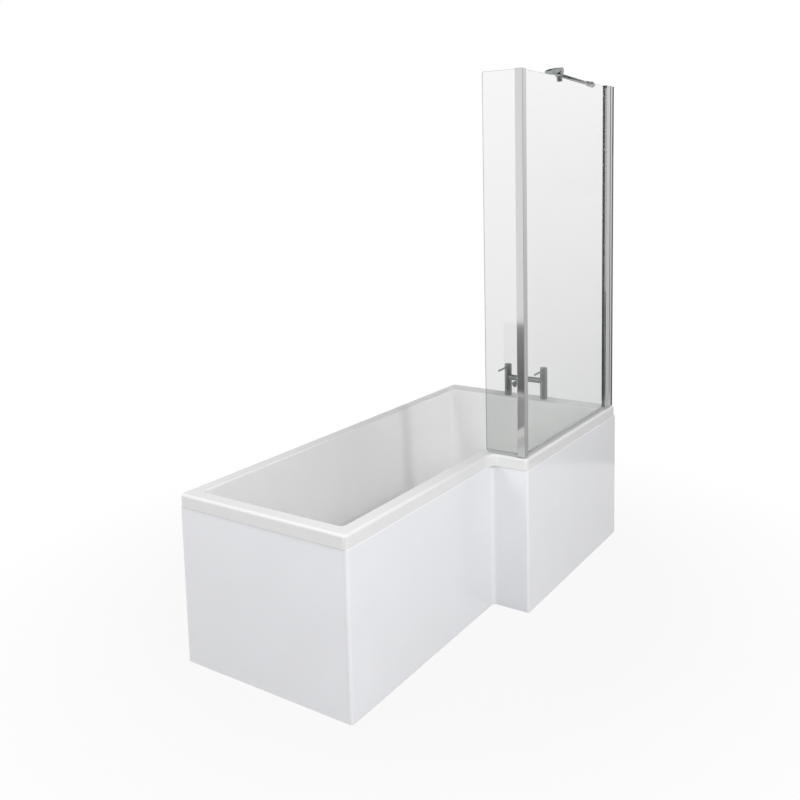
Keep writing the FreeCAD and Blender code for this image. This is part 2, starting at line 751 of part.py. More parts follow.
def bath_trap():
    """Shallow bowl trap whose outlet pipe leaves toward the long wall."""
    low_z = TAIL_Z - TRAP_DEPTH
    pipe_z = TAIL_Z - TRAP_PIPE_R - 2 * TRAP_WALL
    bowl = rod(TRAP_R, at_waste(low_z), Z_DIR, TRAP_DEPTH)
    bowl = bowl.fuse(rod(TRAP_PIPE_R + TRAP_BOSS, at_waste(pipe_z), Y_DIR, TRAP_PIPE_REACH - TRAP_PIPE_FREE))
    bowl = bowl.fuse(rod(TRAP_PIPE_R, at_waste(pipe_z), Y_DIR, TRAP_PIPE_REACH))
    bowl = bowl.cut(rod(TRAP_R - TRAP_WALL, at_waste(low_z + TRAP_WALL), Z_DIR, TRAP_DEPTH - 2 * TRAP_WALL))
    bowl = bowl.cut(rod(WASTE_TAIL_BORE, at_waste(pipe_z), Z_DIR, TRAP_DEPTH))
    return bowl.cut(rod(TRAP_PIPE_R - TRAP_WALL, at_waste(pipe_z), Y_DIR, TRAP_PIPE_REACH))


keep("waste_flange", waste_flange())
keep("waste_seals", *waste_seals())
keep("waste_plug", waste_plug())
keep("plug_seal", plug_seal())
keep("waste_body", waste_body())
keep("trap_nut", trap_nut())
keep("bath_trap", bath_trap())


# Overflow on the front wall, and the hose down to the waste

OVERFLOW_SEAL_Z = -SHELL * math.cos(WALL_LEAN) - SEAL_UNDER
OVERFLOW_BACK_Z = OVERFLOW_SEAL_Z - OVERFLOW_BODY
DIAL_Z = OVERFLOW_ROSE + OVERFLOW_CLEAR


def overflow_rose():
    plate = rod(OVERFLOW_ROSE_R, Vector(), Z_DIR, OVERFLOW_ROSE)
    plate = plate.makeFillet(OVERFLOW_ROSE / 2, edges_at(plate, OVERFLOW_ROSE))
    sleeve = rod(THROAT_R, Vector(), -Z_DIR, SHELL + SEAL_UNDER + OVERFLOW_BODY / 2)
    rose = plate.fuse(sleeve)
    rose = rose.cut(rod(THROAT_BORE, Vector(), -Z_DIR, 2 * OVERFLOW_BODY))
    return rose.cut(rod(OVERFLOW_STEM_R + OVERFLOW_CLEAR, Vector(), Z_DIR, OVERFLOW_ROSE))


def overflow_dial():
    knob = rod(OVERFLOW_DIAL_R, Vector(0, 0, DIAL_Z), Z_DIR, OVERFLOW_DIAL)
    knob = knob.makeFillet(OVERFLOW_DIAL / 4, edges_at(knob, DIAL_Z + OVERFLOW_DIAL))
    for side in (-1, 1):
        beside = Vector(side * (2 * OVERFLOW_DIAL_R - OVERFLOW_GRIP), 0, DIAL_Z)
        knob = knob.cut(rod(OVERFLOW_DIAL_R, beside, Z_DIR, OVERFLOW_DIAL))
    stem_back = OVERFLOW_SEAL_Z - OVERFLOW_BODY / 2
    return knob.fuse(rod(OVERFLOW_STEM_R, Vector(0, 0, stem_back), Z_DIR, DIAL_Z - stem_back))


HOSE_Y = OVERFLOW_SEAT.multVec(Vector(0, 0, OVERFLOW_BACK_Z + SPIGOT_R)).y
HOSE_TOP_Z = OVERFLOW_Z - OVERFLOW_BODY_R - HOSE_TOP_GAP
HOSE_END_Y = WASTE_Y - BODY_TUBE_R


def overflow_body():
    cup = seated(rod(OVERFLOW_BODY_R, Vector(0, 0, OVERFLOW_BACK_Z), Z_DIR, OVERFLOW_BODY))
    spigot_top = Vector(WASTE_X, HOSE_Y, OVERFLOW_Z)
    spigot_length = OVERFLOW_BODY_R + SPIGOT
    cup = cup.fuse(rod(SPIGOT_R, spigot_top, -Z_DIR, spigot_length))
    hollow = Vector(0, 0, OVERFLOW_BACK_Z + HOSE_WALL)
    cup = cup.cut(seated(rod(THROAT_R + FIT, hollow, Z_DIR, OVERFLOW_BODY)))
    return cup.cut(rod(SPIGOT_BORE, spigot_top, -Z_DIR, spigot_length)).removeSplitter()


def overflow_seal():
    return seated(ring(OVERFLOW_BODY_R, WASTE_HOLE_R, Vector(0, 0, OVERFLOW_SEAL_Z), Z_DIR, SEAL_UNDER))


def overflow_hose():
    top = Vector(WASTE_X, HOSE_Y, HOSE_TOP_Z)
    bend_top = Vector(WASTE_X, HOSE_Y, INLET_Z + HOSE_BEND)
    bend_end = Vector(WASTE_X, HOSE_Y + HOSE_BEND, INLET_Z)
    cut_in = HOSE_BEND * (1 - math.sqrt(0.5))
    bend_middle = Vector(WASTE_X, HOSE_Y + cut_in, INLET_Z + cut_in)
    end = Vector(WASTE_X, HOSE_END_Y, INLET_Z)
    edges = [Part.makeLine(top, bend_top), Part.Arc(bend_top, bend_middle, bend_end).toShape()]
    edges.append(Part.makeLine(bend_end, end))
    path = Part.Wire(edges)
    return pipe(path, HOSE_R, top, Z_DIR).cut(pipe(path, HOSE_BORE, top, Z_DIR))


keep("overflow_rose", seated(overflow_rose()))
keep("overflow_dial", seated(overflow_dial()))
keep("overflow_body", overflow_body())
keep("overflow_seal", overflow_seal())
keep("overflow_hose", overflow_hose())


# Deck taps

PILLAR_Z = RIM_HEIGHT + PILLAR_WASHER
PILLAR_TOP = PILLAR_Z + PILLAR_HEIGHT
HEAD_Z = PILLAR_TOP + HEAD_GAP
BRIDGE_Z = RIM_HEIGHT + BRIDGE_HEIGHT
NUT_Z = DECK_Z - PILLAR_WASHER - TAIL_NUT


def on_deck(y, z):
    return Vector(TAP_X, y, z)


def tap_pillar(y):
    pillar = ring(PILLAR_R, PILLAR_BORE, on_deck(y, PILLAR_Z), Z_DIR, PILLAR_HEIGHT)
    return pillar.cut(rod(TAIL_R + FIT, on_deck(y, PILLAR_Z), Z_DIR, TAIL_INTO))


def tap_bridge():
    half = TAP_SPACING / 2
    bar = rod(BRIDGE_R, on_deck(-half, BRIDGE_Z), Y_DIR, TAP_SPACING)
    bar = bar.cut(rod(BRIDGE_BORE, on_deck(-half, BRIDGE_Z), Y_DIR, TAP_SPACING))
    for y in TAP_SIDES:
        bar = bar.cut(rod(PILLAR_R, on_deck(y, PILLAR_Z), Z_DIR, PILLAR_HEIGHT))
    return bar


SPOUT_X = TAP_X - SPOUT_REACH


def spout_hole():
    """Outlet on the underside, close to the spout's closed end."""
    return rod(AERATOR_R, Vector(SPOUT_X, 0, BRIDGE_Z), -Z_DIR, SPOUT_R + AERATOR)


def tap_spout():
    root = Vector(TAP_X, 0, BRIDGE_Z)
    length = SPOUT_REACH + SPOUT_TIP
    tube = rod(SPOUT_R, root, -X_DIR, length)
    tip = [edge for edge in tube.Edges if edge.BoundBox.XMax < SPOUT_X]
    tube = tube.makeFillet(SPOUT_EDGE, tip)
    tube = tube.cut(rod(SPOUT_BORE, root, -X_DIR, length - SPOUT_EDGE)).cut(spout_hole())
    return tube.cut(rod(BRIDGE_R, Vector(TAP_X, -BRIDGE_R, BRIDGE_Z), Y_DIR, 2 * BRIDGE_R))


def spout_aerator():
    inside = Vector(SPOUT_X, 0, BRIDGE_Z)
    collar = spout_hole().cut(rod(AERATOR_R, inside, -Z_DIR, SPOUT_R / 2))
    return collar.cut(rod(AERATOR_R - AERATOR_LIP, inside, -Z_DIR, SPOUT_R + AERATOR))


def tap_cartridge(y):
    start = on_deck(y, PILLAR_TOP - CARTRIDGE)
    return ring(PILLAR_BORE - FIT, SPINDLE_R + FIT, start, Z_DIR, CARTRIDGE)


def tap_lever(y):
    root = on_deck(y, HEAD_Z + LEVER_UP)
    tip = root + Vector(-LEVER_REACH, 0, -LEVER_FALL)
    way = tip - root
    way.normalize()
    start = root + way * (PILLAR_R - LEVER_ROOT)
    lever = rod(LEVER_R, start, way, LEVER_REACH - PILLAR_R + LEVER_ROOT)
    end = [edge for edge in lever.Edges if edge.Curve.TypeId == "Part::GeomCircle"]
    end.sort(key=lambda edge: edge.CenterOfMass.x)
    return lever.makeFillet(LEVER_R / 2, end[:1])


def tap_head(y):
    head = rod(PILLAR_R, on_deck(y, HEAD_Z), Z_DIR, HEAD_HEIGHT)
    head = head.makeFillet(HEAD_EDGE, edges_at(head, HEAD_Z + HEAD_HEIGHT))
    head = head.fuse(rod(SPINDLE_R, on_deck(y, HEAD_Z - SPINDLE), Z_DIR, SPINDLE))
    return head.cut(tap_lever(y))


def tap_tail(y):
    bottom = DECK_Z - TAIL_BELOW
    top = PILLAR_Z + TAIL_INTO
    supply = rod(TAIL_END_R, on_deck(y, bottom), Z_DIR, NUT_Z - bottom)
    shank = rod(TAIL_R, on_deck(y, NUT_Z), Z_DIR, top - NUT_Z)
    return supply.fuse(shank).cut(rod(TAIL_BORE, on_deck(y, bottom), Z_DIR, top - bottom))


def tap_nut(y):
    return hexagon(TAIL_NUT_FLATS, TAIL_R + FIT, TAP_X, y, NUT_Z, NUT_Z + TAIL_NUT)


def tap_washers(y):
    over = ring(PILLAR_R, TAIL_R + FIT, on_deck(y, RIM_HEIGHT), Z_DIR, PILLAR_WASHER)
    under = ring(TAIL_NUT_FLATS / 2, TAIL_R + FIT, on_deck(y, DECK_Z - PILLAR_WASHER), Z_DIR, PILLAR_WASHER)
    return [over, under]


keep("tap_pillars", *[tap_pillar(y) for y in TAP_SIDES])
keep("tap_bridge", tap_bridge())
keep("tap_spout", tap_spout())
keep("spout_aerator", spout_aerator())
keep("tap_cartridges", *[tap_cartridge(y) for y in TAP_SIDES])
keep("tap_tails", *[tap_tail(y) for y in TAP_SIDES])
keep("tap_washers", *[washer for y in TAP_SIDES for washer in tap_washers(y)])
keep("tap_nuts", *[tap_nut(y) for y in TAP_SIDES])
for tap_name, tap_y in zip(("hot", "cold"), TAP_SIDES):
    keep(tap_name + "_tap_head", tap_head(tap_y))
    keep(tap_name + "_tap_lever", tap_lever(tap_y))


# Wall profile and hinge profile of the screen

SCREEN_Z = RIM_HEIGHT + SCREEN_ABOVE_RIM
SCREEN_TOP = SCREEN_Z + SCREEN_HEIGHT
FRONT_Y = Y_WIDE + SCREEN_SETBACK
INSIDE_Y = FRONT_Y + PROFILE_DEPTH
GLASS_Y = (FRONT_Y + INSIDE_Y) / 2
GLASS_Z = SCREEN_Z + GLASS_LIFT
SLOT = GLASS + 2 * GASKET
SOCKET_R = BEAD_R + BEAD_CLEAR
SOCKET_OUT_R = SOCKET_R + SOCKET_WALL
AXIS_X = X_TAP - WALL_PROFILE_WIDTH + SOCKET_OUT_R
AXIS_Y = FRONT_Y + SOCKET_OUT_R
HINGE_X1 = AXIS_X - SOCKET_OUT_R - HINGE_GAP
HINGE_X0 = HINGE_X1 - HINGE_PROFILE_WIDTH
CAVITY_X0 = AXIS_X + SOCKET_OUT_R + WALL_PROFILE_WALL
CAVITY_X1 = X_TAP - WALL_PROFILE_WALL


def upright(x0, x1, y0, y1, z0=SCREEN_Z):
    return box(x0, x1, y0, y1, z0, SCREEN_TOP)


def swing_room(z, height):
    """Wedge about the hinge axis that the hinge profile's neck sweeps through."""
    reach = 3 * SOCKET_OUT_R
    turns = (SOCKET_OPEN_FROM, (SOCKET_OPEN_FROM + SOCKET_OPEN_TO) / 2, SOCKET_OPEN_TO)
    rays = [Vector(math.cos(math.radians(turn)), math.sin(math.radians(turn)), 0) for turn in turns]
    axis = Vector(AXIS_X, AXIS_Y, z)
    points = [axis] + [axis + ray * reach for ray in rays]
    return Part.Face(Part.makePolygon(points + [axis])).extrude(Vector(0, 0, height))


def wall_profile():
    body = upright(X_TAP - WALL_PROFILE_WIDTH, X_TAP, FRONT_Y, INSIDE_Y, RIM_HEIGHT)
    cavity = upright(CAVITY_X0, CAVITY_X1, FRONT_Y + WALL_PROFILE_WALL, INSIDE_Y, RIM_HEIGHT)
    height = SCREEN_TOP - RIM_HEIGHT
    body = body.cut(cavity)
    body = body.cut(swing_room(RIM_HEIGHT, height))
    body = body.cut(rod(SOCKET_R, Vector(AXIS_X, AXIS_Y, RIM_HEIGHT), Z_DIR, height))
    middle = (SCREEN_Z + SCREEN_TOP) / 2
    for spacing in (WALL_HOLE_OUTER, WALL_HOLE_INNER):
        for side in (-1, 1):
            place = Vector(CAVITY_X1, GLASS_Y, middle + side * spacing / 2)
            body = body.cut(rod(WALL_HOLE_R, place, X_DIR, WALL_PROFILE_WALL))
    return body


def profile_cover():
    """Strip that snaps over the open side and hides the wall screws."""
    x0 = CAVITY_X0 + FIT
    x1 = CAVITY_X1 - FIT
    leg_y = GLASS_Y + WALL_HOLE_R + FIT
    strip = upright(x0, x1, INSIDE_Y - PROFILE_WALL, INSIDE_Y, RIM_HEIGHT)
    for leg_x in (x0, x1 - PROFILE_WALL):
        strip = strip.fuse(upright(leg_x, leg_x + PROFILE_WALL, leg_y, INSIDE_Y, RIM_HEIGHT))
    return strip.removeSplitter()


def wall_profile_cap():
    cap = box(X_TAP - WALL_PROFILE_WIDTH, X_TAP, FRONT_Y, INSIDE_Y, SCREEN_TOP, SCREEN_TOP + CAP)
    return cap.cut(swing_room(SCREEN_TOP, CAP))


def hinge_profile():
    body = upright(HINGE_X0, HINGE_X1, FRONT_Y, INSIDE_Y)
    body = body.cut(upright(HINGE_X0, HINGE_X0 + HINGE_SLOT, GLASS_Y - SLOT / 2, GLASS_Y + SLOT / 2))
    chamber_x0 = HINGE_X0 + PROFILE_WALL
    chamber_x1 = HINGE_X1 - PROFILE_WALL
    near_slot = SLOT / 2 + PROFILE_WALL
    body = body.cut(upright(chamber_x0, chamber_x1, FRONT_Y + PROFILE_WALL, GLASS_Y - near_slot))
    body = body.cut(upright(chamber_x0, chamber_x1, GLASS_Y + near_slot, INSIDE_Y - PROFILE_WALL))
    body = body.fuse(upright(HINGE_X1, AXIS_X, AXIS_Y - NECK / 2, AXIS_Y + NECK / 2))
    return body.fuse(rod(BEAD_R, Vector(AXIS_X, AXIS_Y, SCREEN_Z), Z_DIR, SCREEN_HEIGHT)).removeSplitter()


def hinge_profile_cap():
    return box(HINGE_X0, HINGE_X1, FRONT_Y, INSIDE_Y, SCREEN_TOP, SCREEN_TOP + CAP)


keep("wall_profile", wall_profile())
keep("profile_cover", profile_cover())
keep("wall_profile_cap", wall_profile_cap())
keep("hinge_profile", hinge_profile())
keep("hinge_profile_cap", hinge_profile_cap())


# Corner post, glass, gaskets and bottom seals

POST_X0 = X_STEP
POST_X1 = POST_X0 + POST_WIDTH
RETURN_X = POST_X0 + RETURN_PLANE
RETURN_END_Y = FRONT_Y + RETURN_REACH
POST_SLOT_X = POST_X1 - POST_SLOT
POST_INSIDE_Y = FRONT_Y + POST_DEPTH
POST_SLOT_Y = POST_INSIDE_Y - POST_SLOT
GLASS_X0 = POST_SLOT_X + GASKET
GLASS_X1 = HINGE_X0 + HINGE_SLOT - GASKET
RETURN_Y0 = POST_SLOT_Y + GASKET
SEAL_Z = RIM_HEIGHT + SEAL_CLEAR
SEAL_TOP_Z = GLASS_Z + SEAL_GRIP


def corner_post():
    post = upright(POST_X0, POST_X1, FRONT_Y, POST_INSIDE_Y)
    corners = [edge for edge in post.Edges if edge.BoundBox.ZLength > SCREEN_HEIGHT / 2]
    post = post.makeFillet(GASKET, corners)
    post = post.cut(upright(POST_SLOT_X, POST_X1, GLASS_Y - SLOT / 2, GLASS_Y + SLOT / 2))
    return post.cut(upright(RETURN_X - SLOT / 2, RETURN_X + SLOT / 2, POST_SLOT_Y, POST_INSIDE_Y))


def post_cap():
    cap = box(POST_X0, POST_X1, FRONT_Y, POST_INSIDE_Y, SCREEN_TOP, SCREEN_TOP + CAP)
    return cap.makeFillet(CAP / 2, edges_at(cap, SCREEN_TOP + CAP))


def screen_glass():
    return box(GLASS_X0, GLASS_X1, GLASS_Y - GLASS / 2, GLASS_Y + GLASS / 2, GLASS_Z, SCREEN_TOP)


def return_glass():
    pane = box(RETURN_X - GLASS / 2, RETURN_X + GLASS / 2, RETURN_Y0, RETURN_END_Y, GLASS_Z, SCREEN_TOP)
    free = [
        edge
        for edge in pane.Edges
        if edge.BoundBox.XLength > GLASS / 2 and edge.BoundBox.YMin > RETURN_END_Y - GLASS
    ]
    return pane.makeFillet(RETURN_CORNER, free)


def screen_gaskets():
    """Channel strips that line each glass slot."""
    z0 = GLASS_Z
    z1 = SCREEN_TOP
    post = box(POST_SLOT_X, POST_X1, GLASS_Y - SLOT / 2, GLASS_Y + SLOT / 2, z0, z1)
    hinge = box(HINGE_X0, HINGE_X0 + HINGE_SLOT, GLASS_Y - SLOT / 2, GLASS_Y + SLOT / 2, z0, z1)
    back = box(RETURN_X - SLOT / 2, RETURN_X + SLOT / 2, POST_SLOT_Y, POST_INSIDE_Y, z0, z1)
    pane = box(GLASS_X0, GLASS_X1, GLASS_Y - GLASS / 2, GLASS_Y + GLASS / 2, z0, z1)
    side = box(RETURN_X - GLASS / 2, RETURN_X + GLASS / 2, RETURN_Y0, RETURN_END_Y, z0, z1)
    return [post.cut(pane), hinge.cut(pane), back.cut(side)]


def screen_seal():
    strip = box(POST_X1, HINGE_X0, GLASS_Y - SEAL_WIDTH / 2, GLASS_Y + SEAL_WIDTH / 2, SEAL_Z, SEAL_TOP_Z)
    return strip.cut(screen_glass())


def return_seal():
    y1 = RETURN_END_Y - RETURN_CORNER
    x0 = RETURN_X - SEAL_WIDTH / 2
    x1 = RETURN_X + SEAL_WIDTH / 2
    strip = box(x0, x1, POST_INSIDE_Y, y1, SEAL_Z, SEAL_TOP_Z)
    return strip.cut(return_glass())


keep("corner_post", corner_post())
keep("post_cap", post_cap())
keep("screen_glass", screen_glass())
keep("return_glass", return_glass())
keep("screen_gaskets", *screen_gaskets())
keep("screen_seal", screen_seal())
keep("return_seal", return_seal())


# Support arm from the glass to the end wall

CLAMP_X = X_TAP - CLAMP_FROM_WALL
CLAMP_Z = SCREEN_TOP + CLAMP_RISE
CLAMP_Y0 = GLASS_Y - CLAMP_OUTSIDE
CLAMP_Y1 = GLASS_Y + CLAMP_INSIDE
GRIP_Z = SCREEN_TOP - CLAMP_GRIP
PEG_Y = GLASS_Y - GLASS / 2 - CLAMP_PAD - PEG_R
JAW_Y0 = GLASS_Y + GLASS / 2 + CLAMP_PAD
PIVOT_Y = GLASS_Y + PIVOT_INSIDE
ARM_Z = SCREEN_TOP + ARM_RISE
PIVOT_X = CLAMP_X + CLAMP_R + EYE_CLEAR + ARM_EYE_R
PIVOT = Vector(PIVOT_X, PIVOT_Y, ARM_Z)
KNUCKLE = Vector(X_TAP - KNUCKLE_FROM_WALL, GLASS_Y + ROSE_INSIDE, ARM_Z + ROSE_RISE)
ARM_LENGTH = PIVOT.distanceToPoint(KNUCKLE)
ARM_WAY = (KNUCKLE - PIVOT) * (1 / ARM_LENGTH)


def on_arm(distance):
    return PIVOT + ARM_WAY * distance


def peg():
    return rod(PEG_R, Vector(CLAMP_X, PEG_Y, GRIP_Z), Z_DIR, CLAMP_Z - GRIP_Z)


def pivot_pin():
    """Lug on the wall side of the clamp head, with the pin that the bar's eye turns on."""
    under = PIVOT - Z_DIR * (ARM_R + PIVOT_CLEAR)
    over = PIVOT + Z_DIR * (ARM_R + LUG_CLEAR)
    half = LUG_WIDTH / 2
    lug = box(CLAMP_X + PEG_R, PIVOT.x, PIVOT_Y - half, PIVOT_Y + half, over.z, over.z + LUG)
    lug = lug.fuse(rod(PIVOT_CAP_R, over, Z_DIR, LUG))
    cap = rod(PIVOT_CAP_R, under, -Z_DIR, PIVOT_CAP)
    return lug.fuse(cap).fuse(rod(PIVOT_R, under, Z_DIR, over.z + LUG - under.z)).removeSplitter()


def clamp_head():
    head = rod(CLAMP_R, Vector(CLAMP_X, CLAMP_Y0, CLAMP_Z), Y_DIR, CLAMP_Y1 - CLAMP_Y0)
    face = [edge for edge in head.Edges if abs(edge.BoundBox.YMax - CLAMP_Y0) < 1e-4]
    head = head.makeFillet(CLAMP_R / 5, face)
    return head.cut(peg()).cut(pivot_pin())


def clamp_nose():
    """Bullet-shaped cap on the inside end of the clamp head."""
    tip = Vector(NOSE_TIP_R, 0, NOSE_LENGTH)
    centre = Vector(0, 0, NOSE_LENGTH)
    shoulder = Vector(NOSE_R, 0, 0)
    middle = (tip + shoulder) * 0.5 + Vector(NOSE_BULGE, 0, NOSE_BULGE)
    outline = [Part.makeLine(Vector(), shoulder), Part.Arc(shoulder, middle, tip).toShape()]
    outline += [Part.makeLine(tip, centre), Part.makeLine(centre, Vector())]
    nose = Part.Face(Part.Wire(outline)).revolve(Vector(), Z_DIR, 360)
    nose.Placement = Placement(Vector(CLAMP_X, CLAMP_Y1, CLAMP_Z), Rotation(Z_DIR, Y_DIR))
    return nose


def clamp_jaw():
    half = JAW_WIDTH / 2
    jaw = box(CLAMP_X - half, CLAMP_X + half, JAW_Y0, JAW_Y0 + JAW_THICK, GRIP_Z, CLAMP_Z)
    return jaw.cut(rod(CLAMP_R, Vector(CLAMP_X, CLAMP_Y0, CLAMP_Z), Y_DIR, CLAMP_Y1 - CLAMP_Y0))


def clamp_pads():
    half = JAW_WIDTH / 2
    pads = []
    for y in (GLASS_Y - GLASS / 2 - CLAMP_PAD, GLASS_Y + GLASS / 2):
        pads.append(box(CLAMP_X - half, CLAMP_X + half, y, y + CLAMP_PAD, GRIP_Z, SCREEN_TOP))
    return pads


# The bar stops where the front edge of the rose's fork can't reach it, whichever way the rose is turned
BAR_END = ARM_LENGTH - math.hypot(KNUCKLE_FRONT, COLLAR_R) - 2 * TONGUE_CLEAR
COLLAR_START = BAR_END - COLLAR_GAP - COLLAR_LENGTH
FORK_X = KNUCKLE.x - KNUCKLE_FRONT


def knuckle_bore(radius, height):
    return rod(radius, KNUCKLE - Z_DIR * (height / 2), Z_DIR, height)


def arm_tongue():
    """Level flat end of the bar, with the eye that turns on the rose's pin."""
    reach = ARM_LENGTH - BAR_END + TONGUE_THICK
    flat = Part.makeBox(reach, 2 * TONGUE_R, TONGUE_THICK, Vector(-reach, -TONGUE_R, -TONGUE_THICK / 2))
    flat.Placement = Placement(KNUCKLE, Rotation(X_DIR, Vector(ARM_WAY.x, ARM_WAY.y, 0)))
    return flat.fuse(knuckle_bore(TONGUE_R, TONGUE_THICK))


def arm_bar():
    eye = rod(ARM_EYE_R, PIVOT - Z_DIR * ARM_R, Z_DIR, 2 * ARM_R)
    bar = eye.fuse(rod(ARM_R, PIVOT, ARM_WAY, BAR_END)).fuse(arm_tongue())
    bar = bar.cut(rod(PIVOT_R + PIVOT_CLEAR, PIVOT - Z_DIR * 2 * ARM_R, Z_DIR, 4 * ARM_R))
    return bar.cut(knuckle_bore(KNUCKLE_PIN_R + PIVOT_CLEAR, 2 * ARM_R))


def arm_collar():
    """Lock collar of the bar, just short of its tongue."""
    collar = rod(COLLAR_R, on_arm(COLLAR_START), ARM_WAY, COLLAR_LENGTH)
    ends = [edge for edge in collar.Edges if edge.Curve.TypeId == "Part::GeomCircle"]
    collar = collar.makeFillet(COLLAR_EDGE, ends)
    return collar.cut(rod(ARM_R, on_arm(COLLAR_START), ARM_WAY, COLLAR_LENGTH))


def arm_rose():
    """Wall rose whose forked boss takes the bar's tongue."""
    wall = Vector(X_TAP, KNUCKLE.y, KNUCKLE.z)
    boss = rod(COLLAR_R, Vector(FORK_X, KNUCKLE.y, KNUCKLE.z), X_DIR, X_TAP - FORK_X)
    front = [edge for edge in boss.Edges if abs(edge.BoundBox.XMax - FORK_X) < 1e-4]
    boss = boss.makeFillet(COLLAR_EDGE, front)
    plate = rod(ROSE_R, wall, -X_DIR, ROSE_THICK)
    inside = [edge for edge in plate.Edges if abs(edge.BoundBox.XMax - (X_TAP - ROSE_THICK)) < 1e-4]
    plate = plate.makeFillet(COLLAR_EDGE, inside)
    half_slot = TONGUE_THICK / 2 + TONGUE_CLEAR
    slot_end = KNUCKLE.x + TONGUE_R + 2 * TONGUE_CLEAR
    y0 = KNUCKLE.y - COLLAR_R
    y1 = KNUCKLE.y + COLLAR_R
    slot = box(FORK_X, slot_end, y0, y1, KNUCKLE.z - half_slot, KNUCKLE.z + half_slot)
    rose = boss.fuse(plate).cut(slot).cut(knuckle_bore(KNUCKLE_PIN_R, 2 * COLLAR_R))
    return rose.cut(rod(ROSE_SCREW_R, wall, -X_DIR, ROSE_SCREW))


def rose_pin():
    return knuckle_bore(KNUCKLE_PIN_R, 2 * math.sqrt(COLLAR_R**2 - KNUCKLE_PIN_R**2))


keep("clamp_head", clamp_head())
keep("clamp_nose", clamp_nose())
keep("clamp_peg", peg())
keep("clamp_jaw", clamp_jaw())
keep("clamp_pads", *clamp_pads())
keep("pivot_pin", pivot_pin())
keep("arm_bar", arm_bar())
keep("arm_collar", arm_collar())
keep("arm_rose", arm_rose())
keep("rose_pin", rose_pin())


# One STEP file for each piece

os.makedirs("parts", exist_ok=True)
for node_name, node_shape in NODES.items():
    node_shape.exportStep("parts/" + node_name + ".step")
    print(node_name, len(node_shape.Solids), round(node_shape.Volume), node_shape.isValid())
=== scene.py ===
import bmesh
import bpy
import json
import math
from mathutils import Matrix, Vector

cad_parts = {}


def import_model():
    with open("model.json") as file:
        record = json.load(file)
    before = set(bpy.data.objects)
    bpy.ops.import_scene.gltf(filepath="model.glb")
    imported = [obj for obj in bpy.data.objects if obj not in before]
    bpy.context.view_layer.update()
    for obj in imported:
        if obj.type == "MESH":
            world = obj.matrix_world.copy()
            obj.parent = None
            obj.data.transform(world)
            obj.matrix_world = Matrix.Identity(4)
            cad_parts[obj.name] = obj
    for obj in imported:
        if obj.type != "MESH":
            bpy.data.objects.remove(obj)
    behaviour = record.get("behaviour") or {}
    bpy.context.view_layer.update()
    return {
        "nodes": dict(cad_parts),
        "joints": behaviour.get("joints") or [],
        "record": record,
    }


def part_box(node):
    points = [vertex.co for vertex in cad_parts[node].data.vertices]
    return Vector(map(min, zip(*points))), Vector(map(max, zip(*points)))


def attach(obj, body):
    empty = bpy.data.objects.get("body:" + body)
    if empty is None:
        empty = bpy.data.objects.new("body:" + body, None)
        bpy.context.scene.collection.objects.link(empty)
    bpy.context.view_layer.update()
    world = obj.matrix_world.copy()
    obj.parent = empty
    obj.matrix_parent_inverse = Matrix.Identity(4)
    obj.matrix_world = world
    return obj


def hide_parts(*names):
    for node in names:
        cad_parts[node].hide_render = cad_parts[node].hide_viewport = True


# Lengths are in metres. X runs to the tap end, the front faces -Y, and Z is up from the floor

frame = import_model()
scene = bpy.context.scene
scene.view_settings.view_transform = "Standard"
record = frame["record"]
NODE_BODY = {node: body for body, group in record["behaviour"]["bodies"].items() for node in group}
NODE_SLOT = {entry["node"]: entry["material_slot"] for entry in record["subparts"]}
JOINTS = {joint["name"]: joint for joint in frame["joints"]}
X_AXIS = Vector((1, 0, 0))
Y_AXIS = Vector((0, 1, 0))
Z_AXIS = Vector((0, 0, 1))


# Camera at the photograph's viewing angle, for a square frame

FRAME_PX = 800
SENSOR_MM = 36
FOCAL_PX = 864.35
CENTRE_PX = (470, 280)
EYE = Vector((-2.7000, -1.8231, 1.6177))
YAW = 0.5434
PITCH = -0.1205
ROLL = -0.0143
CLIP_END = 100


def place_camera():
    data = bpy.data.cameras.new("camera")
    data.sensor_width = SENSOR_MM
    data.lens = FOCAL_PX * SENSOR_MM / FRAME_PX
    data.shift_x = 0.5 - CENTRE_PX[0] / FRAME_PX
    data.shift_y = CENTRE_PX[1] / FRAME_PX - 0.5
    data.clip_end = CLIP_END
    camera = bpy.data.objects.new("camera", data)
    scene.collection.objects.link(camera)
    ahead = Vector((math.cos(PITCH) * math.cos(YAW), math.cos(PITCH) * math.sin(YAW), math.sin(PITCH)))
    level = Vector((math.sin(YAW), -math.cos(YAW), 0))
    above = level.cross(ahead)
    right = level * math.cos(ROLL) + above * math.sin(ROLL)
    up = above * math.cos(ROLL) - level * math.sin(ROLL)
    turn = Matrix((right, up, -ahead)).transposed()
    camera.matrix_world = Matrix.Translation(EYE) @ turn.to_4x4()
    scene.camera = camera


place_camera()


# Material helpers

EVEN = (1, 1, 1)
GLOSS_DRIFT = 0.3
RELIEF_FINENESS = 8
BUMP_STRENGTH = 0.4


def shader(name):
    material = bpy.data.materials.new(name)
    material.use_nodes = True
    return material, material.node_tree, material.node_tree.nodes["Principled BSDF"]


def texture(tree, kind, scale, stretch=EVEN, **settings):
    """A procedural texture in object space, where one unit is a metre."""
    where = tree.nodes.new("ShaderNodeTexCoord")
    mapping = tree.nodes.new("ShaderNodeMapping")
    mapping.inputs["Scale"].default_value = stretch
    tree.links.new(where.outputs["Object"], mapping.inputs["Vector"])
    node = tree.nodes.new(kind)
    node.inputs["Scale"].default_value = scale
    for key, value in settings.items():
        node.inputs[key].default_value = value
    tree.links.new(mapping.outputs["Vector"], node.inputs["Vector"])
    return node


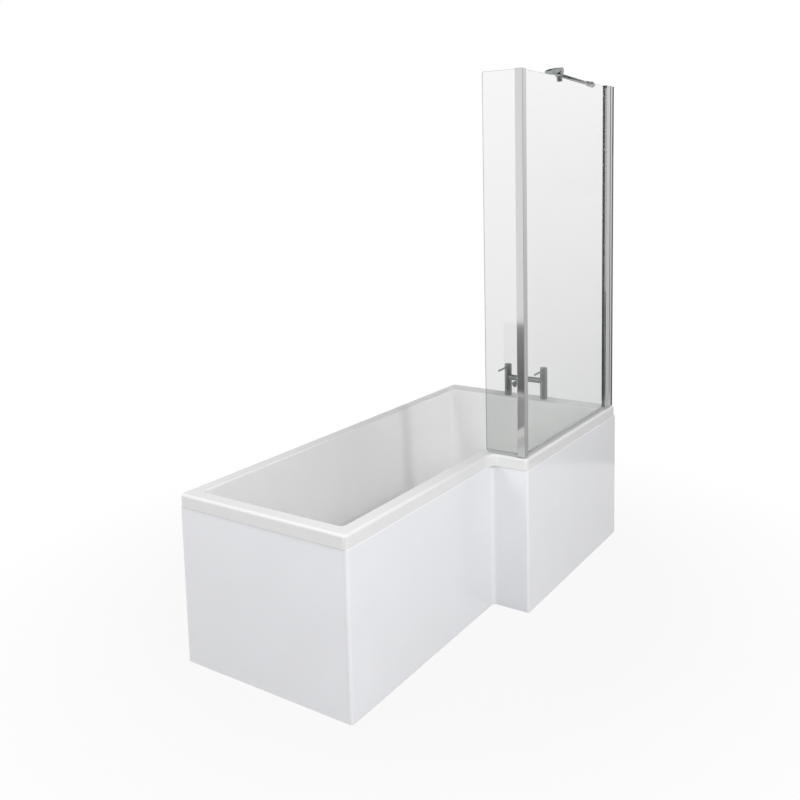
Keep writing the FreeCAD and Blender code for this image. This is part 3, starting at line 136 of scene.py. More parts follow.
def ramp(tree, source, low, high, start=0.0, end=1.0):
    """Colours from low to high as the source goes from start to end."""
    node = tree.nodes.new("ShaderNodeValToRGB")
    node.color_ramp.elements[0].position = start
    node.color_ramp.elements[0].color = (*low, 1)
    node.color_ramp.elements[1].position = end
    node.color_ramp.elements[1].color = (*high, 1)
    tree.links.new(source, node.inputs["Fac"])
    return node.outputs["Color"]


def spread(tree, source, low, high, start=0.0, end=1.0):
    """Numbers from low to high as the source goes from start to end."""
    node = tree.nodes.new("ShaderNodeMapRange")
    node.inputs["From Min"].default_value = start
    node.inputs["From Max"].default_value = end
    node.inputs["To Min"].default_value = low
    node.inputs["To Max"].default_value = high
    tree.links.new(source, node.inputs["Value"])
    return node.outputs["Result"]


def bump(tree, bsdf, source, height):
    node = tree.nodes.new("ShaderNodeBump")
    node.inputs["Strength"].default_value = BUMP_STRENGTH
    node.inputs["Distance"].default_value = height
    tree.links.new(source, node.inputs["Height"])
    tree.links.new(node.outputs["Normal"], bsdf.inputs["Normal"])


def height_above(tree):
    where = tree.nodes.new("ShaderNodeTexCoord")
    split = tree.nodes.new("ShaderNodeSeparateXYZ")
    tree.links.new(where.outputs["Object"], split.inputs["Vector"])
    return split.outputs["Z"]


def combine(tree, operation, first, second):
    node = tree.nodes.new("ShaderNodeMath")
    node.operation = operation
    tree.links.new(first, node.inputs[0])
    tree.links.new(second, node.inputs[1])
    return node.outputs["Value"]


def mix_to(output, tree, share, first, second):
    """Send two shaders, mixed by a share, to the tree's output node."""
    mix = tree.nodes.new("ShaderNodeMixShader")
    tree.links.new(share, mix.inputs["Fac"])
    tree.links.new(first, mix.inputs[1])
    tree.links.new(second, mix.inputs[2])
    tree.links.new(mix.outputs["Shader"], tree.nodes[output].inputs["Surface"])


def shade(colour, factor):
    return tuple(channel * factor for channel in colour)


# Finishes

PROFILE_STRETCH = (1, 1, 0.004)
WOOD_STRETCH = (0.06, 1, 1)
WOOD_ROUGHNESS = 0.7
WOOD_RELIEF = 0.0008
CHIP_GRAIN = 220
CHIP_ROUGHNESS = 0.8
CHIP_RELIEF = 0.0006
GLASS_IOR = 1.5
FILM_GRAIN = 3
FILM_ROUGHNESS = 0.012


def surface(name, colour, roughness, vary, grain, stretch=EVEN, relief=0.0, metallic=0.0, coat=0.0):
    """Plain finish with slight drifts of tone and gloss and a fine relief."""
    material, tree, bsdf = shader(name)
    drift = texture(tree, "ShaderNodeTexNoise", grain, stretch, Detail=4).outputs["Fac"]
    tone = ramp(tree, drift, shade(colour, 1 - vary), shade(colour, 1 + vary), start=0.3, end=0.7)
    tree.links.new(tone, bsdf.inputs["Base Color"])
    gloss = spread(tree, drift, roughness * (1 - GLOSS_DRIFT), roughness * (1 + GLOSS_DRIFT))
    tree.links.new(gloss, bsdf.inputs["Roughness"])
    if relief:
        fine = texture(tree, "ShaderNodeTexNoise", grain * RELIEF_FINENESS, stretch, Detail=3)
        bump(tree, bsdf, fine.outputs["Fac"], relief)
    bsdf.inputs["Metallic"].default_value = metallic
    bsdf.inputs["Coat Weight"].default_value = coat
    return material


def wood(name, light, dark, rings):
    """Timber with its grain along X."""
    material, tree, bsdf = shader(name)
    noise = texture(tree, "ShaderNodeTexNoise", rings, WOOD_STRETCH, Detail=6, Distortion=0.6)
    grain = noise.outputs["Fac"]
    tree.links.new(ramp(tree, grain, dark, light, start=0.35, end=0.65), bsdf.inputs["Base Color"])
    bsdf.inputs["Roughness"].default_value = WOOD_ROUGHNESS
    bump(tree, bsdf, grain, WOOD_RELIEF)
    return material


def chipboard(name, light, dark):
    material, tree, bsdf = shader(name)
    flakes = texture(tree, "ShaderNodeTexVoronoi", CHIP_GRAIN).outputs["Distance"]
    tree.links.new(ramp(tree, flakes, light, dark, start=0.1, end=0.8), bsdf.inputs["Base Color"])
    bsdf.inputs["Roughness"].default_value = CHIP_ROUGHNESS
    bump(tree, bsdf, flakes, CHIP_RELIEF)
    return material


def clear_glass(name, low, high, roughness=0.0):
    """Glass whose grey colour is painted darker toward the bath than at its top edge: painted shade."""
    material, tree, bsdf = shader(name)
    bsdf.inputs["Transmission Weight"].default_value = 1
    bsdf.inputs["IOR"].default_value = GLASS_IOR
    foot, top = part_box("screen_glass")
    # Painted shade: the colour darkens from the top edge down toward the bath
    tall = spread(tree, height_above(tree), 0, 1, foot.z, top.z)
    tree.links.new(ramp(tree, tall, low, high), bsdf.inputs["Base Color"])
    film = texture(tree, "ShaderNodeTexNoise", FILM_GRAIN, Detail=2).outputs["Fac"]
    gloss = spread(tree, film, roughness, roughness + FILM_ROUGHNESS)
    tree.links.new(gloss, bsdf.inputs["Roughness"])
    return material


FINISHES = {
    "acrylic": surface(
        "acrylic", (0.78, 0.783, 0.78), roughness=0.10, vary=0.012, grain=6, relief=0.00004, coat=0.3
    ),
    # The panel's bluish tint is painted light, standing for the bluish light that falls on the panels
    "panel": surface(
        "panel", (0.85, 0.855, 0.885), roughness=0.14, vary=0.012, grain=5, relief=0.00005, coat=0.2
    ),
    "board": chipboard("board", light=(0.62, 0.49, 0.32), dark=(0.36, 0.26, 0.15)),
    "timber": wood("timber", light=(0.66, 0.50, 0.30), dark=(0.46, 0.31, 0.16), rings=60),
    "zinc_steel": surface(
        "zinc_steel", (0.58, 0.59, 0.60), roughness=0.36, vary=0.08, grain=90, relief=0.0001, metallic=1
    ),
    "black_plastic": surface(
        "black_plastic", (0.03, 0.03, 0.03), roughness=0.5, vary=0.2, grain=120, relief=0.0001
    ),
    "white_plastic": surface(
        "white_plastic", (0.74, 0.74, 0.72), roughness=0.4, vary=0.03, grain=60, relief=0.00008
    ),
    "black_rubber": surface(
        "black_rubber", (0.025, 0.025, 0.026), roughness=0.7, vary=0.2, grain=150, relief=0.0002
    ),
    # Darker and greener than bare chrome: painted reflection of the dark greenish surroundings the taps
    # mirror
    "chrome": surface("chrome", (0.34, 0.365, 0.36), roughness=0.05, vary=0.03, grain=60, metallic=1),
    "brass": surface(
        "brass", (0.62, 0.47, 0.20), roughness=0.28, vary=0.06, grain=120, relief=0.00008, metallic=1
    ),
    "profile": surface(
        "profile", (0.66, 0.66, 0.655), roughness=0.08, vary=0.03, grain=500, metallic=1,
        stretch=PROFILE_STRETCH,
    ),
    "clear_glass": clear_glass("clear_glass", low=(0.745, 0.76, 0.75), high=(0.925, 0.925, 0.925)),
    "grey_seal": surface(
        "grey_seal", (0.16, 0.165, 0.17), roughness=0.35, vary=0.08, grain=80, relief=0.0001
    ),
    "clear_seal": surface(
        "clear_seal", (0.42, 0.43, 0.425), roughness=0.25, vary=0.05, grain=80, relief=0.00005
    ),
}
# Black for a face on the glass side: painted shade, a dark band standing where there is only shade
PAINTED_SHADE_BAND = surface("painted_shade_band", (0.03, 0.03, 0.032), roughness=0.5, vary=0.1, grain=80)
# The edge band gets the same painted shade, darker toward the bath
GLASS_EDGE = clear_glass("glass_edge", low=(0.08, 0.11, 0.10), high=(0.14, 0.17, 0.16), roughness=0.1)

for node_name, slot_name in NODE_SLOT.items():
    for place in frame["nodes"][node_name].material_slots:
        place.material = FINISHES[slot_name]


# Mesh helpers

SHARP = math.radians(32)
MOST_REACH = 0.49
ON_AXIS = 1e-6
FILLET_STEPS = 5
ARC_STEPS = 24
LATHE_STEPS = 72
SOFT_EDGE = 0.0008
SMALL_EDGE = 0.0004
FINE_EDGE = 0.0003


def fillet(points, radii, closed=False, steps=FILLET_STEPS):
    """The line through flat points with its corners rounded, by one radius for each point."""
    line = []
    for index, point in enumerate(points):
        here = Vector(point)
        at_end = not closed and index in (0, len(points) - 1)
        if at_end or radii[index] == 0:
            line.append(here)
            continue
        before = Vector(points[index - 1]) - here
        after = Vector(points[(index + 1) % len(points)]) - here
        half = before.angle(after) / 2
        reach = min(radii[index] / math.tan(half), before.length * MOST_REACH, after.length * MOST_REACH)
        bow = reach * math.tan(half)
        before.normalize()
        after.normalize()
        centre = here + (before + after).normalized() * (bow / math.sin(half))
        start = here + before * reach - centre
        stop = here + after * reach - centre
        sweep = math.pi - 2 * half
        for step in range(steps + 1):
            share = step / steps
            mixed = start * math.sin((1 - share) * sweep) + stop * math.sin(share * sweep)
            line.append(centre + mixed / math.sin(sweep))
    return line


def arc(centre, radius, start, stop, steps=ARC_STEPS):
    """Flat points of an arc about a centre, with both of its ends."""
    points = []
    for step in range(steps + 1):
        turn = start + (stop - start) * step / steps
        points.append((centre[0] + radius * math.cos(turn), centre[1] + radius * math.sin(turn)))
    return points


def lathe(bm, outline, start, way, steps=LATHE_STEPS):
    """Turned solid: outline points are a distance along the axis and a radius."""
    turn = way.to_track_quat("Z", "Y").to_matrix()
    rings = []
    for along, radius in outline:
        count = steps if radius > ON_AXIS else 1
        ring = []
        for step in range(count):
            angle = 2 * math.pi * step / steps
            offset = Vector((radius * math.cos(angle), radius * math.sin(angle), along))
            ring.append(bm.verts.new(start + turn @ offset))
        rings.append(ring)
    for lower, upper in zip(rings, rings[1:]):
        for step in range(steps):
            after = (step + 1) % steps
            corners = [lower[step % len(lower)], lower[after % len(lower)]]
            corners += [upper[after % len(upper)], upper[step % len(upper)]]
            bm.faces.new(list(dict.fromkeys(corners)))


def extrude(bm, outline, origin, across, up, along):
    """Prism of a flat outline, whose axes are across and up, carried along a vector."""
    lower = [bm.verts.new(origin + across * u + up * v) for u, v in outline]
    upper = [bm.verts.new(vert.co + along) for vert in lower]
    faces = [bm.faces.new(lower), bm.faces.new(upper)]
    for index in range(len(lower)):
        after = (index + 1) % len(lower)
        faces.append(bm.faces.new((lower[index], lower[after], upper[after], upper[index])))
    return faces


def put(name, bm, node, edge=0.0, segments=3):
    """Put a mesh in the place of a CAD node, with the node's body and finish and softened edges."""
    bmesh.ops.recalc_face_normals(bm, faces=bm.faces)
    mesh = bpy.data.meshes.new(name)
    bm.to_mesh(mesh)
    bm.free()
    mesh.shade_smooth()
    mesh.set_sharp_from_angle(angle=SHARP)
    mesh.materials.append(FINISHES[NODE_SLOT[node]])
    piece = bpy.data.objects.new(name, mesh)
    scene.collection.objects.link(piece)
    if edge:
        soften = piece.modifiers.new("edges", "BEVEL")
        soften.limit_method = "ANGLE"
        soften.angle_limit = SHARP
        soften.width = edge
        soften.segments = segments
    flats = piece.modifiers.new("flats", "WEIGHTED_NORMAL")
    flats.keep_sharp = True
    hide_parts(node)
    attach(piece, NODE_BODY[node])
    return piece


def put_turned(node, outline, start, way, edge=0.0, steps=LATHE_STEPS):
    """Put one turned solid in the place of a CAD node."""
    bm = bmesh.new()
    lathe(bm, outline, start, way, steps)
    put(node + "_turned", bm, node, edge)


def centre_of(node):
    low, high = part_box(node)
    return (low + high) / 2


# Deck taps

SEAM_DEPTH = 0.0006
SEAM_WIDTH = 0.0012
PILLAR_SEAM = 0.005
BRIDGE_SEAM = 0.008
SPOUT_SEAM = 0.018
SPOUT_EDGE = 0.0030
AERATOR_LIP = 0.0015
SPINDLE_SHARE = 0.3
CROWN_SHARE = 0.9
CROWN_RISE = 0.0012
HEAD_EDGE = 0.0025
LEVER_EDGE = 0.0020
LEVER_STEPS = 40


def grooved(length, radius, seams):
    """Outline of a bar with thin turned seams at the given distances."""
    outline = [(0, 0), (0, radius)]
    for seam in seams:
        outline += [(seam, radius), (seam, radius - SEAM_DEPTH)]
        outline += [(seam + SEAM_WIDTH, radius - SEAM_DEPTH), (seam + SEAM_WIDTH, radius)]
    return outline + [(length, radius), (length, 0)]


def tap_pillars():
    low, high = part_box("tap_pillars")
    radius = (high.x - low.x) / 2
    bm = bmesh.new()
    for y in (low.y + radius, high.y - radius):
        foot = Vector((low.x + radius, y, low.z))
        lathe(bm, grooved(high.z - low.z, radius, (PILLAR_SEAM,)), foot, Z_AXIS)
    put("tap_pillars_turned", bm, "tap_pillars", SOFT_EDGE)


def tap_bridge():
    low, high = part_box("tap_bridge")
    radius = (high.z - low.z) / 2
    length = high.y - low.y
    outline = grooved(length, radius, (BRIDGE_SEAM, length - BRIDGE_SEAM - SEAM_WIDTH))
    start = Vector((centre_of("tap_bridge").x, low.y, low.z + radius))
    put_turned("tap_bridge", outline, start, Y_AXIS, FINE_EDGE)


def tap_spout():
    low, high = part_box("tap_spout")
    bridge = centre_of("tap_bridge")
    outline = grooved(bridge.x - low.x, (high.y - low.y) / 2, (SPOUT_SEAM,))
    rounding = [0] * (len(outline) - 2) + [SPOUT_EDGE, 0]
    put_turned("tap_spout", fillet(outline, rounding), bridge, -X_AXIS, FINE_EDGE)


def spout_aerator():
    low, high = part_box("spout_aerator")
    radius = (high.x - low.x) / 2
    inner = radius - AERATOR_LIP
    tall = high.z - low.z
    floor_at = tall - AERATOR_LIP
    outline = [(0, radius), (tall, radius), (tall, inner), (floor_at, inner), (floor_at, 0)]
    start = Vector((low.x + radius, centre_of("spout_aerator").y, high.z))
    put_turned("spout_aerator", outline, start, -Z_AXIS, SMALL_EDGE)


def tap_head(node):
    low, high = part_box(node)
    radius = (high.x - low.x) / 2
    thin = radius * SPINDLE_SHARE
    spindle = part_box("tap_pillars")[1].z - low.z
    tall = high.z - low.z
    outline = [(0, 0), (0, thin), (spindle, thin), (spindle, radius)]
    outline += [(tall - CROWN_RISE, radius), (tall, radius * CROWN_SHARE), (tall, 0)]
    rounding = [0, 0, 0, HEAD_EDGE / 3, HEAD_EDGE, HEAD_EDGE, 0]
    start = Vector((low.x + radius, (low.y + high.y) / 2, low.z))
    put_turned(node, fillet(outline, rounding), start, Z_AXIS)


def tap_lever(node):
    low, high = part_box(node)
    radius = (high.y - low.y) / 2
    root = Vector((high.x, (low.y + high.y) / 2, high.z - radius))
    tip = Vector((low.x, root.y, low.z + radius))
    length = (tip - root).length
    outline = fillet([(0, 0), (0, radius), (length, radius), (length, 0)], [0, 0, LEVER_EDGE, 0])
    put_turned(node, outline, root, tip - root, steps=LEVER_STEPS)


tap_pillars()
tap_bridge()
tap_spout()
spout_aerator()
for side in ("hot", "cold"):
    tap_head(side + "_tap_head")
    tap_lever(side + "_tap_lever")


# Screen clamp

CLAMP_EDGE = 0.0025
CLAMP_SEAM = 0.006
NOSE_STEPS = 18
NOSE_POWER = 1.7
PEG_SEAM = 0.004
PIN_STEPS = 48
PIVOT = Vector(JOINTS["arm_swivel"]["pos_m"])
PIVOT_R = 0.004
PIVOT_CAP = 0.005
LUG = 0.005
LUG_WIDTH = 0.010


def clamp_front(node):
    """The middle of a clamp piece's front, on the clamp's axis."""
    axis = centre_of("clamp_head")
    return Vector((axis.x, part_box(node)[0].y, axis.z))


def clamp_head():
    low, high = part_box("clamp_head")
    length = high.y - low.y
    outline = grooved(length, (high.z - low.z) / 2, (length - CLAMP_SEAM,))
    rounding = [0, CLAMP_EDGE] + [0] * (len(outline) - 2)
    put_turned("clamp_head", fillet(outline, rounding), clamp_front("clamp_head"), Y_AXIS, FINE_EDGE)


def clamp_nose():
    """Dome on the clamp's inner side."""
    low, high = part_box("clamp_nose")
    radius = (high.z - low.z) / 2
    length = high.y - low.y
    outline = [(0, 0)]
    for step in range(NOSE_STEPS + 1):
        share = step / NOSE_STEPS
        outline.append((length * share, radius * math.sqrt(1 - share ** NOSE_POWER)))
    put_turned("clamp_nose", outline, clamp_front("clamp_nose"), Y_AXIS)


def clamp_peg():
    low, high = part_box("clamp_peg")
    outline = grooved(high.z - low.z, (high.x - low.x) / 2, (PEG_SEAM,))
    start = Vector((centre_of("clamp_head").x, (low.y + high.y) / 2, low.z))
    put_turned("clamp_peg", outline, start, Z_AXIS, SMALL_EDGE, PIN_STEPS)


def pivot_pin():
    """Lug on the clamp's wall side with the pin and end cap that carry the stay."""
    low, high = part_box("pivot_pin")
    radius = high.x - PIVOT.x
    pin = high.z - low.z - LUG / 2
    outline = [(0, 0), (0, radius), (PIVOT_CAP, radius), (PIVOT_CAP, PIVOT_R), (pin, PIVOT_R), (pin, 0)]
    bm = bmesh.new()
    lathe(bm, outline, Vector((PIVOT.x, PIVOT.y, low.z)), Z_AXIS, PIN_STEPS)
    half = LUG_WIDTH / 2
    swing = math.pi - math.asin(half / radius)
    lug = [(low.x - PIVOT.x, half), (low.x - PIVOT.x, -half)] + arc((0, 0), radius, -swing, swing)
    extrude(bm, lug, Vector((PIVOT.x, PIVOT.y, high.z - LUG)), X_AXIS, Y_AXIS, Z_AXIS * LUG)
    put("pivot_pin_turned", bm, "pivot_pin", SOFT_EDGE)


clamp_head()
clamp_nose()
clamp_peg()
pivot_pin()


# Stay from the clamp to the end wall

ARM_R = 0.008
ARM_EYE_R = 0.0098
ARM_EDGE = 0.0016
COLLAR_R = 0.0115
COLLAR_GAP = 0.003
COLLAR_LENGTH = 0.014
TONGUE_R = 0.0054
TONGUE_THICK = 0.0054
TONGUE_STEPS = 16
FORK_GAP = 0.01584
KNUCKLE = Vector(JOINTS["rose_tilt"]["pos_m"])
ARM_WAY = (KNUCKLE - PIVOT).normalized()
BAR_END = (KNUCKLE - PIVOT).length - FORK_GAP


def arm_bar():
    """Round bar with an eye on the pivot pin and a flat tongue at the wall rose."""
    bm = bmesh.new()
    bar = [(0, 0), (0, ARM_R), (BAR_END, ARM_R), (BAR_END, 0)]
    lathe(bm, fillet(bar, [0, 0, ARM_EDGE, 0]), PIVOT, ARM_WAY)
    eye = [(0, 0), (0, ARM_EYE_R), (2 * ARM_R, ARM_EYE_R), (2 * ARM_R, 0)]
    lathe(bm, fillet(eye, [0, ARM_EDGE / 2, ARM_EDGE / 2, 0]), PIVOT - Z_AXIS * ARM_R, Z_AXIS)
    root = FORK_GAP + TONGUE_THICK
    tongue = [(-root, -TONGUE_R), (-root, TONGUE_R)]
    tongue += arc((0, 0), TONGUE_R, math.pi / 2, -math.pi / 2, TONGUE_STEPS)
    level = Vector((ARM_WAY.x, ARM_WAY.y, 0)).normalized()
    base = KNUCKLE - Z_AXIS * (TONGUE_THICK / 2)
    extrude(bm, tongue, base, level, Z_AXIS.cross(level), Z_AXIS * TONGUE_THICK)
    put("arm_bar_turned", bm, "arm_bar", SMALL_EDGE)


def arm_collar():
    outline = grooved(COLLAR_LENGTH, COLLAR_R, ((COLLAR_LENGTH - SEAM_WIDTH) / 2,))
    rounding = [0, ARM_EDGE] + [0] * (len(outline) - 4) + [ARM_EDGE, 0]
    start = PIVOT + ARM_WAY * (BAR_END - COLLAR_GAP - COLLAR_LENGTH)
    put_turned("arm_collar", fillet(outline, rounding), start, ARM_WAY, FINE_EDGE)


arm_bar()
arm_collar()


# Upright profiles of the screen

HINGE = Vector(JOINTS["screen_hinge"]["pos_m"])
SLOT_WIDTH = 0.009
POST_SLOT_DEPTH = 0.009
HINGE_SLOT_DEPTH = 0.016
BEAD_R = 0.004
SOCKET_R = 0.0043
NECK = 0.002
SOCKET_FROM = math.radians(160)
SOCKET_TO = math.radians(-70)
CHANNEL_WALL = 0.0045
STRIP_WIDTH = 0.024
STRIP_FALL = 0.0034
POST_ROUND = 0.0015
GAP_ROUND = 0.0030
TINY_ROUND = 0.0003
LIP_ROUND = 0.0009
UPRIGHT_SEGMENTS = 2


def upright(node, outline, radii, inner_y=None):
    """Drawn profile, with its glass side beyond inner_y painted black as painted shade."""
    low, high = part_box(node)
    bm = bmesh.new()
    line = fillet(outline, radii, closed=True)
    faces = extrude(bm, line, Vector((0, 0, low.z)), X_AXIS, Y_AXIS, Z_AXIS * (high.z - low.z))
    for face in faces:
        middle = face.calc_center_median()
        # Faces on the glass side beyond inner_y take the black painted shade
        if inner_y is not None and middle.y > inner_y and middle.x < low.x + TINY_ROUND:
            face.material_index = 1
    piece = put(node + "_drawn", bm, node, TINY_ROUND, UPRIGHT_SEGMENTS)
    if inner_y is not None:
        piece.data.materials.append(PAINTED_SHADE_BAND)


def corner_post():
    """Post with a slot for each pane."""
    low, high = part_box("corner_post")
    half = SLOT_WIDTH / 2
    glass_y = centre_of("screen_glass").y
    glass_end = high.x - POST_SLOT_DEPTH
    return_x = centre_of("return_glass").x
    return_end = high.y - POST_SLOT_DEPTH
    outline = [(low.x, low.y), (high.x, low.y)]
    outline += [(high.x, glass_y - half), (glass_end, glass_y - half)]
    outline += [(glass_end, glass_y + half), (high.x, glass_y + half), (high.x, high.y)]
    outline += [(return_x + half, high.y), (return_x + half, return_end)]
    outline += [(return_x - half, return_end), (return_x - half, high.y), (low.x, high.y)]
    slot_radii = [TINY_ROUND] * 4
    radii = [POST_ROUND] * 2 + slot_radii + [POST_ROUND] + slot_radii + [POST_ROUND]
    upright("corner_post", outline, radii)


def hinge_profile():
    """Profile on the pane, with the bead that turns in the wall profile's socket."""
    low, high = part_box("hinge_profile")
    wall_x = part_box("hinge_profile_cap")[1].x
    half = SLOT_WIDTH / 2
    glass_y = centre_of("screen_glass").y
    glass_end = low.x + HINGE_SLOT_DEPTH
    neck_half = math.asin(NECK / 2 / BEAD_R)
    bead = arc(HINGE, BEAD_R, math.pi + neck_half, 3 * math.pi - neck_half)
    outline = [(low.x, low.y), (wall_x, low.y), (wall_x, HINGE.y - NECK / 2), *bead]
    outline += [(wall_x, HINGE.y + NECK / 2), (wall_x, high.y), (low.x, high.y)]
    outline += [(low.x, glass_y + half), (glass_end, glass_y + half)]
    outline += [(glass_end, glass_y - half), (low.x, glass_y - half)]
    radii = [POST_ROUND, GAP_ROUND, TINY_ROUND] + [0] * len(bead)
    radii += [TINY_ROUND, POST_ROUND, POST_ROUND] + [TINY_ROUND] * 4
    # The profile's side beyond the pane gets the black painted shade
    upright("hinge_profile", outline, radii, glass_y)


def wall_profile():
    """Channel on the wall, with the bead's socket and a slanted strip on its front."""
    low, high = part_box("wall_profile")
    cover_low, cover_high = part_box("profile_cover")
    channel_y = low.y + CHANNEL_WALL
    socket = arc(HINGE, SOCKET_R, SOCKET_FROM, SOCKET_TO)
    lip_y = HINGE.y + (HINGE.x - low.x) * math.tan(math.pi - SOCKET_FROM)
    lip_x = HINGE.x + (HINGE.y - low.y) / math.tan(-SOCKET_TO)
    outline = [(high.x, low.y + STRIP_FALL), (high.x, high.y)]
    outline += [(cover_high.x, high.y), (cover_high.x, channel_y)]
    outline += [(cover_low.x, channel_y), (cover_low.x, high.y)]
    outline += [(low.x, high.y), (low.x, lip_y), *socket]
    outline += [(lip_x, low.y), (high.x - STRIP_WIDTH, low.y)]
    radii = [POST_ROUND] + [TINY_ROUND] * 5 + [GAP_ROUND, LIP_ROUND] + [0] * len(socket)
    radii += [POST_ROUND, TINY_ROUND]
    upright("wall_profile", outline, radii)


corner_post()
hinge_profile()
wall_profile()


# Glass panes with darker ground edges

EDGE_BAND = 0.0022
PANE_ARRIS = 0.0007
PANE_SEGMENTS = 2
PANE_CORNER = 0.008
PANE_CORNER_STEPS = 6


def pane(node, across, thick_axis, corners):
    low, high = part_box(node)
    wide = (high - low).dot(across)
    tall = high.z - low.z
    thick = (high - low).dot(thick_axis)
    border = fillet([(0, 0), (wide, 0), (wide, tall), (0, tall)], corners, True, PANE_CORNER_STEPS)
    bm = bmesh.new()
    faces = extrude(bm, border, low.copy(), across, Z_AXIS, thick_axis * thick)
    bmesh.ops.inset_region(bm, faces=faces[:2], thickness=EDGE_BAND, use_even_offset=True)
    middle = set(faces[:2])
    for face in bm.faces:
        face.material_index = 0 if face in middle else 1
    piece = put(node + "_pane", bm, node, PANE_ARRIS, PANE_SEGMENTS)
    piece.data.materials.append(GLASS_EDGE)
    piece.visible_shadow = False


pane("screen_glass", X_AXIS, Y_AXIS, [0.0, 0.0, 0.0, 0.0])
pane("return_glass", Y_AXIS, X_AXIS, [0.0, PANE_CORNER, PANE_CORNER, 0.0])


# Floor and world

FLOOR_HALF = 30
FLOOR_DROP = 0.0005
FLOOR_ROUGHNESS = 0.9
FADE_FROM = 0.9
FADE_TO = 1.9
WHITE = (1, 1, 1, 1)


def seen_rays(tree):
    """1 for what the camera sees, itself or in metal and glass, and 0 for the light on the object."""
    path = tree.nodes.new("ShaderNodeLightPath")
    total = path.outputs["Is Camera Ray"]
    for name in ("Is Glossy Ray", "Is Transmission Ray"):
        total = combine(tree, "MAXIMUM", total, path.outputs[name])
    return total


def level_board(name, low, high, z=0.0):
    """Level rectangle between two corners of its plan."""
    mesh = bpy.data.meshes.new(name)
    corners = [(low[0], low[1], z), (high[0], low[1], z), (high[0], high[1], z), (low[0], high[1], z)]
    mesh.from_pydata(corners, [], [(0, 1, 2, 3)])
    board = bpy.data.objects.new(name, mesh)
    scene.collection.objects.link(board)
    return board


def floor(tone, near_share):
    """Pale floor that keeps the shadow near the object and fades to white away from it."""
    plane = level_board("floor", (-FLOOR_HALF, -FLOOR_HALF), (FLOOR_HALF, FLOOR_HALF))
    plane.location.z = -FLOOR_DROP
    material, tree, bsdf = shader("floor")
    bsdf.inputs["Base Color"].default_value = (tone, tone, tone, 1)
    bsdf.inputs["Roughness"].default_value = FLOOR_ROUGHNESS
    where = tree.nodes.new("ShaderNodeTexCoord")
    far = tree.nodes.new("ShaderNodeVectorMath")
    far.operation = "LENGTH"
    tree.links.new(where.outputs["Object"], far.inputs[0])
    share = spread(tree, far.outputs["Value"], near_share, 1, FADE_FROM, FADE_TO)
    amount = combine(tree, "MULTIPLY", share, seen_rays(tree))
    glow = tree.nodes.new("ShaderNodeEmission")
    mix_to("Material Output", tree, amount, bsdf.outputs["BSDF"], glow.outputs["Emission"])
    plane.data.materials.append(material)


def world(light):
    """Even light on the object, before a white background."""
    sky = bpy.data.worlds.new("studio")
    scene.world = sky
    sky.use_nodes = True
    tree = sky.node_tree
    soft = tree.nodes["Background"]
    soft.inputs["Color"].default_value = WHITE
    soft.inputs["Strength"].default_value = light
    white = tree.nodes.new("ShaderNodeBackground")
    white.inputs["Color"].default_value = WHITE
    white.inputs["Strength"].default_value = 1
    seen = seen_rays(tree)
    mix_to("World Output", tree, seen, soft.outputs["Background"], white.outputs["Background"])


floor(tone=0.25, near_share=0.92)
world(light=0.62)


# Lamps, and boards that shade the object or darken what it mirrors

CARD_STEPS = 24


def softbox(name, place, target, size, power, mirrored=False):
    """Square lamp, which metal and glass show only where it is mirrored."""
    data = bpy.data.lights.new(name, "AREA")
    data.shape = "SQUARE"
    data.size = size
    data.energy = power
    lamp = bpy.data.objects.new(name, data)
    lamp.location = place
    lamp.rotation_euler = (Vector(target) - Vector(place)).to_track_quat("-Z", "Y").to_euler()
    lamp.visible_glossy = mirrored
    lamp.visible_transmission = mirrored
    scene.collection.objects.link(lamp)


def flag(name, low, high, z):
    """Level board that shades the tap end, and that the camera, metal and glass don't see."""
    board = level_board(name, low, high, z)
    board.visible_camera = False
    board.visible_glossy = False
    board.visible_transmission = False
    board.data.materials.append(FINISHES["black_plastic"])


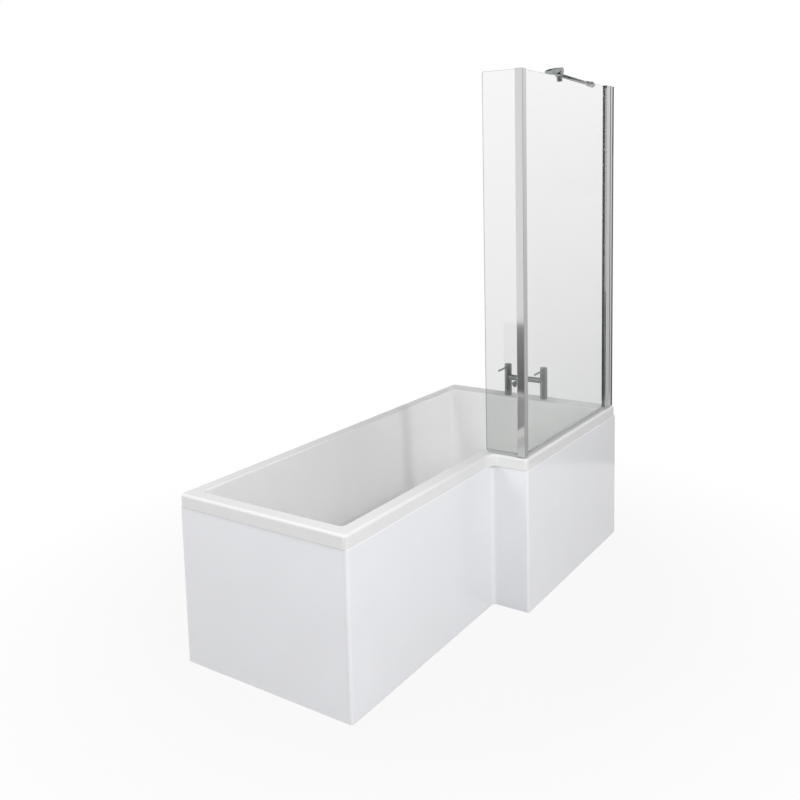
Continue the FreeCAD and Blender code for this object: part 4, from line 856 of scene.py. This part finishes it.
def dark_card(name, azimuth, sweep, radius, heights, tones):
    """Upright curved board that only polished surfaces mirror, with tones for its foot and its top."""
    bm = bmesh.new()
    start = math.radians(azimuth - sweep / 2)
    stop = math.radians(azimuth + sweep / 2)
    line = arc((0, 0), radius, start, stop, CARD_STEPS)
    lower, upper = ([bm.verts.new((x, y, z)) for x, y in line] for z in heights)
    for step in range(CARD_STEPS):
        bm.faces.new((lower[step], lower[step + 1], upper[step + 1], upper[step]))
    mesh = bpy.data.meshes.new(name)
    bm.to_mesh(mesh)
    bm.free()
    card = bpy.data.objects.new(name, mesh)
    scene.collection.objects.link(card)
    card.visible_camera = False
    card.visible_diffuse = False
    card.visible_shadow = False
    material, tree = shader(name)[:2]
    foot, top = ((tone, tone, tone) for tone in tones)
    tall = spread(tree, height_above(tree), 0, 1, *heights)
    glow = tree.nodes.new("ShaderNodeEmission")
    tree.links.new(ramp(tree, tall, foot, top), glow.inputs["Color"])
    clear = tree.nodes.new("ShaderNodeBsdfTransparent")
    path = tree.nodes.new("ShaderNodeLightPath")
    mirrored = path.outputs["Glossy Depth"]
    mix_to("Material Output", tree, mirrored, clear.outputs["BSDF"], glow.outputs["Emission"])
    mesh.materials.append(material)


flag("flag_tap_end", low=(-0.15, -0.25), high=(0.80, 0.60), z=1.15)
softbox("key", place=(-1.35, -3.5, 2.7), target=(0.2, 0, 0.5), size=0.26, power=50, mirrored=True)
softbox("front_left", place=(-3.4, -3.2, 2.6), target=(0, 0, 0.4), size=1.2, power=68)
softbox("left", place=(-2.8, 1.6, 2.6), target=(-0.6, 0, 0.4), size=1.2, power=32)
dark_card("card_behind", azimuth=225, sweep=64, radius=2.0, heights=(0.0, 5.0), tones=(0.01, 0.08))
dark_card("card_beyond", azimuth=336.2, sweep=2.2, radius=1.092, heights=(0.0, 1.7), tones=(0.02, 0.15))
dark_card("card_stay", azimuth=346.5, sweep=10, radius=2.2, heights=(1.5, 2.7), tones=(0.06, 0.12))
dark_card("card_stay_far", azimuth=369, sweep=22, radius=2.2, heights=(1.5, 2.7), tones=(0.06, 0.12))
dark_card("card_right", azimuth=326, sweep=28, radius=1.9, heights=(0.0, 2.6), tones=(0.50, 1.0))
dark_card("card_left", azimuth=166, sweep=12, radius=1.8, heights=(0.12, 0.75), tones=(0.05, 0.35))
dark_card("card_above", azimuth=80, sweep=110, radius=1.6, heights=(3.2, 5.6), tones=(0.02, 0.05))
dark_card("card_back", azimuth=46, sweep=60, radius=3.0, heights=(0.3, 3.0), tones=(0.60, 0.80))
